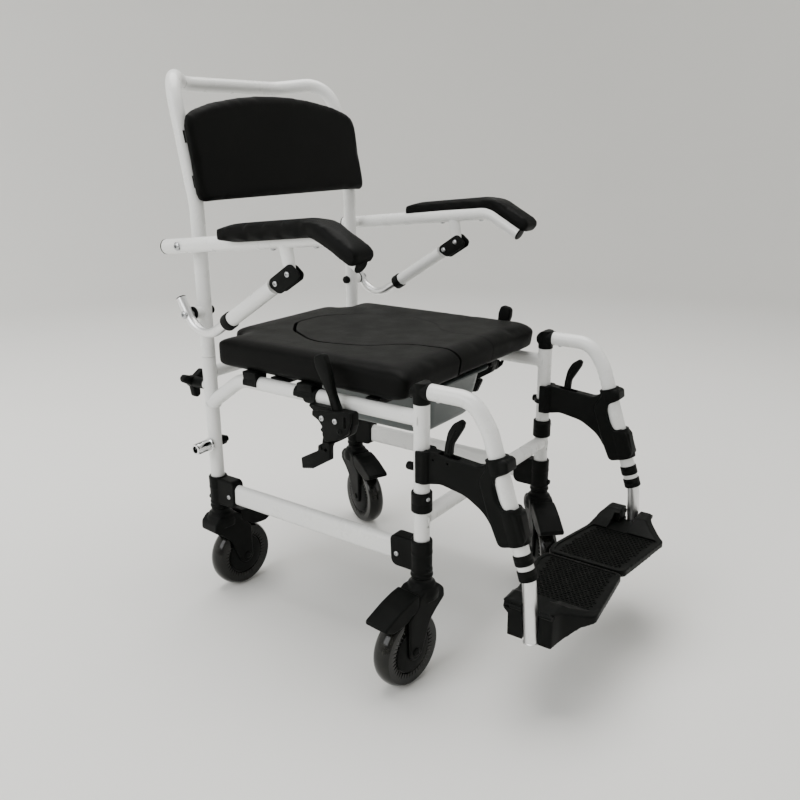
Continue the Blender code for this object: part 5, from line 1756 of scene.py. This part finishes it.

# %% [markdown]
# The photograph was taken on a pale cloth that rises behind the chair without a corner. A wide
# round cove does the same from every side: a floor that curves up all round, well behind the
# lights, in one soft warm grey with broad folds. The grey is painted a little lighter on the crests
# of the folds and darker in their troughs, which is painted shade.

# %% The floor and its cove
COVE_FLAT = 3.4
COVE_BEND = 1.6
COVE_STEPS = 12
COVE_STEP = 90.0 / COVE_STEPS
cove = new_ring(96, COVE_FLAT)
cove.location.z = -0.0005
cove.name = "studio_cove"
edit(cove)
all_of_it()
for level in range(1, COVE_STEPS + 1):
    angle = math.radians(COVE_STEP * level)
    earlier = math.radians(COVE_STEP * (level - 1))
    radius = COVE_FLAT + COVE_BEND * math.sin(angle)
    before = COVE_FLAT + COVE_BEND * math.sin(earlier)
    rise = COVE_BEND * (math.cos(earlier) - math.cos(angle))
    extrude((0, 0, rise))
    bpy.ops.transform.resize(value=(radius / before, radius / before, 1.0), center_override=(0, 0, 0))
extrude((0, 0, 2.5))
bpy.ops.mesh.delete(type="FACE")
all_of_it()
bpy.ops.mesh.normals_make_consistent(inside=True)
bpy.ops.object.mode_set(mode="OBJECT")
bpy.ops.object.shade_smooth()


def backdrop_cloth():
    cloth = Finish("pale_backdrop_cloth", roughness=0.92, specular_ior_level=0.2)
    folds_and_fold_shade = cloth.grain(0.9, 3.0, 0.5)
    weave = cloth.grain(420.0, 2.0, 0.5)
    # The colour follows the folds: painted lighter on their crests and darker in their troughs, which is
    # painted shade.
    tone = cloth.blend(folds_and_fold_shade, (0.8, 0.797, 0.776), (0.836, 0.833, 0.812))
    normal = cloth.bump(folds_and_fold_shade, 0.25, 0.05)
    normal = cloth.bump(weave, 0.1, 0.0004, normal)
    return cloth.wear(base_color=tone, normal=normal)


cove.data.materials.append(backdrop_cloth())
cove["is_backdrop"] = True
print("the cove has", len(cove.data.polygons), "faces")

# %% [markdown]
# One large soft light hangs above and a little behind, a second fills from the camera's left, a
# weak one lifts the right and a fourth washes the backdrop. The world adds an even pale light, so
# that the black parts keep their shape without a hard shadow anywhere.

# %% Lights


def soft_light(name, place, target, size, power, colour):
    data = bpy.data.lights.new(name, "AREA")
    data.shape = "RECTANGLE"
    data.size = size[0]
    data.size_y = size[1]
    data.energy = power
    data.color = colour
    lamp = bpy.data.objects.new(name, data)
    bpy.context.scene.collection.objects.link(lamp)
    lamp.location = place
    lamp.rotation_mode = "QUATERNION"
    lamp.rotation_quaternion = (Vector(target) - Vector(place)).to_track_quat("-Z", "Y")
    print(name, "gives", power, "W")


soft_light("ceiling_softbox", (0.3, 0.4, 3.0), (0.0, 0.0, 0.3), (2.6, 2.2), 98.0, (1.0, 0.985, 0.955))
soft_light("left_fill", (-2.6, 0.6, 1.9), (0.0, 0.0, 0.5), (1.8, 1.6), 46.0, (0.98, 0.99, 1.0))
soft_light("right_fill", (1.6, -2.4, 1.7), (0.0, 0.0, 0.4), (1.6, 1.4), 10.0, (1.0, 0.99, 0.97))
soft_light("backdrop_wash", (-1.6, 1.9, 2.6), (-1.9, 4.6, 0.9), (2.2, 1.2), 80.0, (1.0, 0.995, 0.975))
world = bpy.data.worlds.new("studio_air")
bpy.context.scene.world = world
world.use_nodes = True
world.node_tree.nodes["Background"].inputs["Color"].default_value = (0.82, 0.82, 0.81, 1.0)
world.node_tree.nodes["Background"].inputs["Strength"].default_value = 0.56

# %% [markdown]
# The finished chair must fill the same box as its CAD model, apart from the few millimetres that
# foam may stand proud, so the size of its box is printed.

# %% Sizes and finish
low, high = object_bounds()
print("visual box", [round(1000 * (b - a), 1) for a, b in zip(low, high)], "mm")
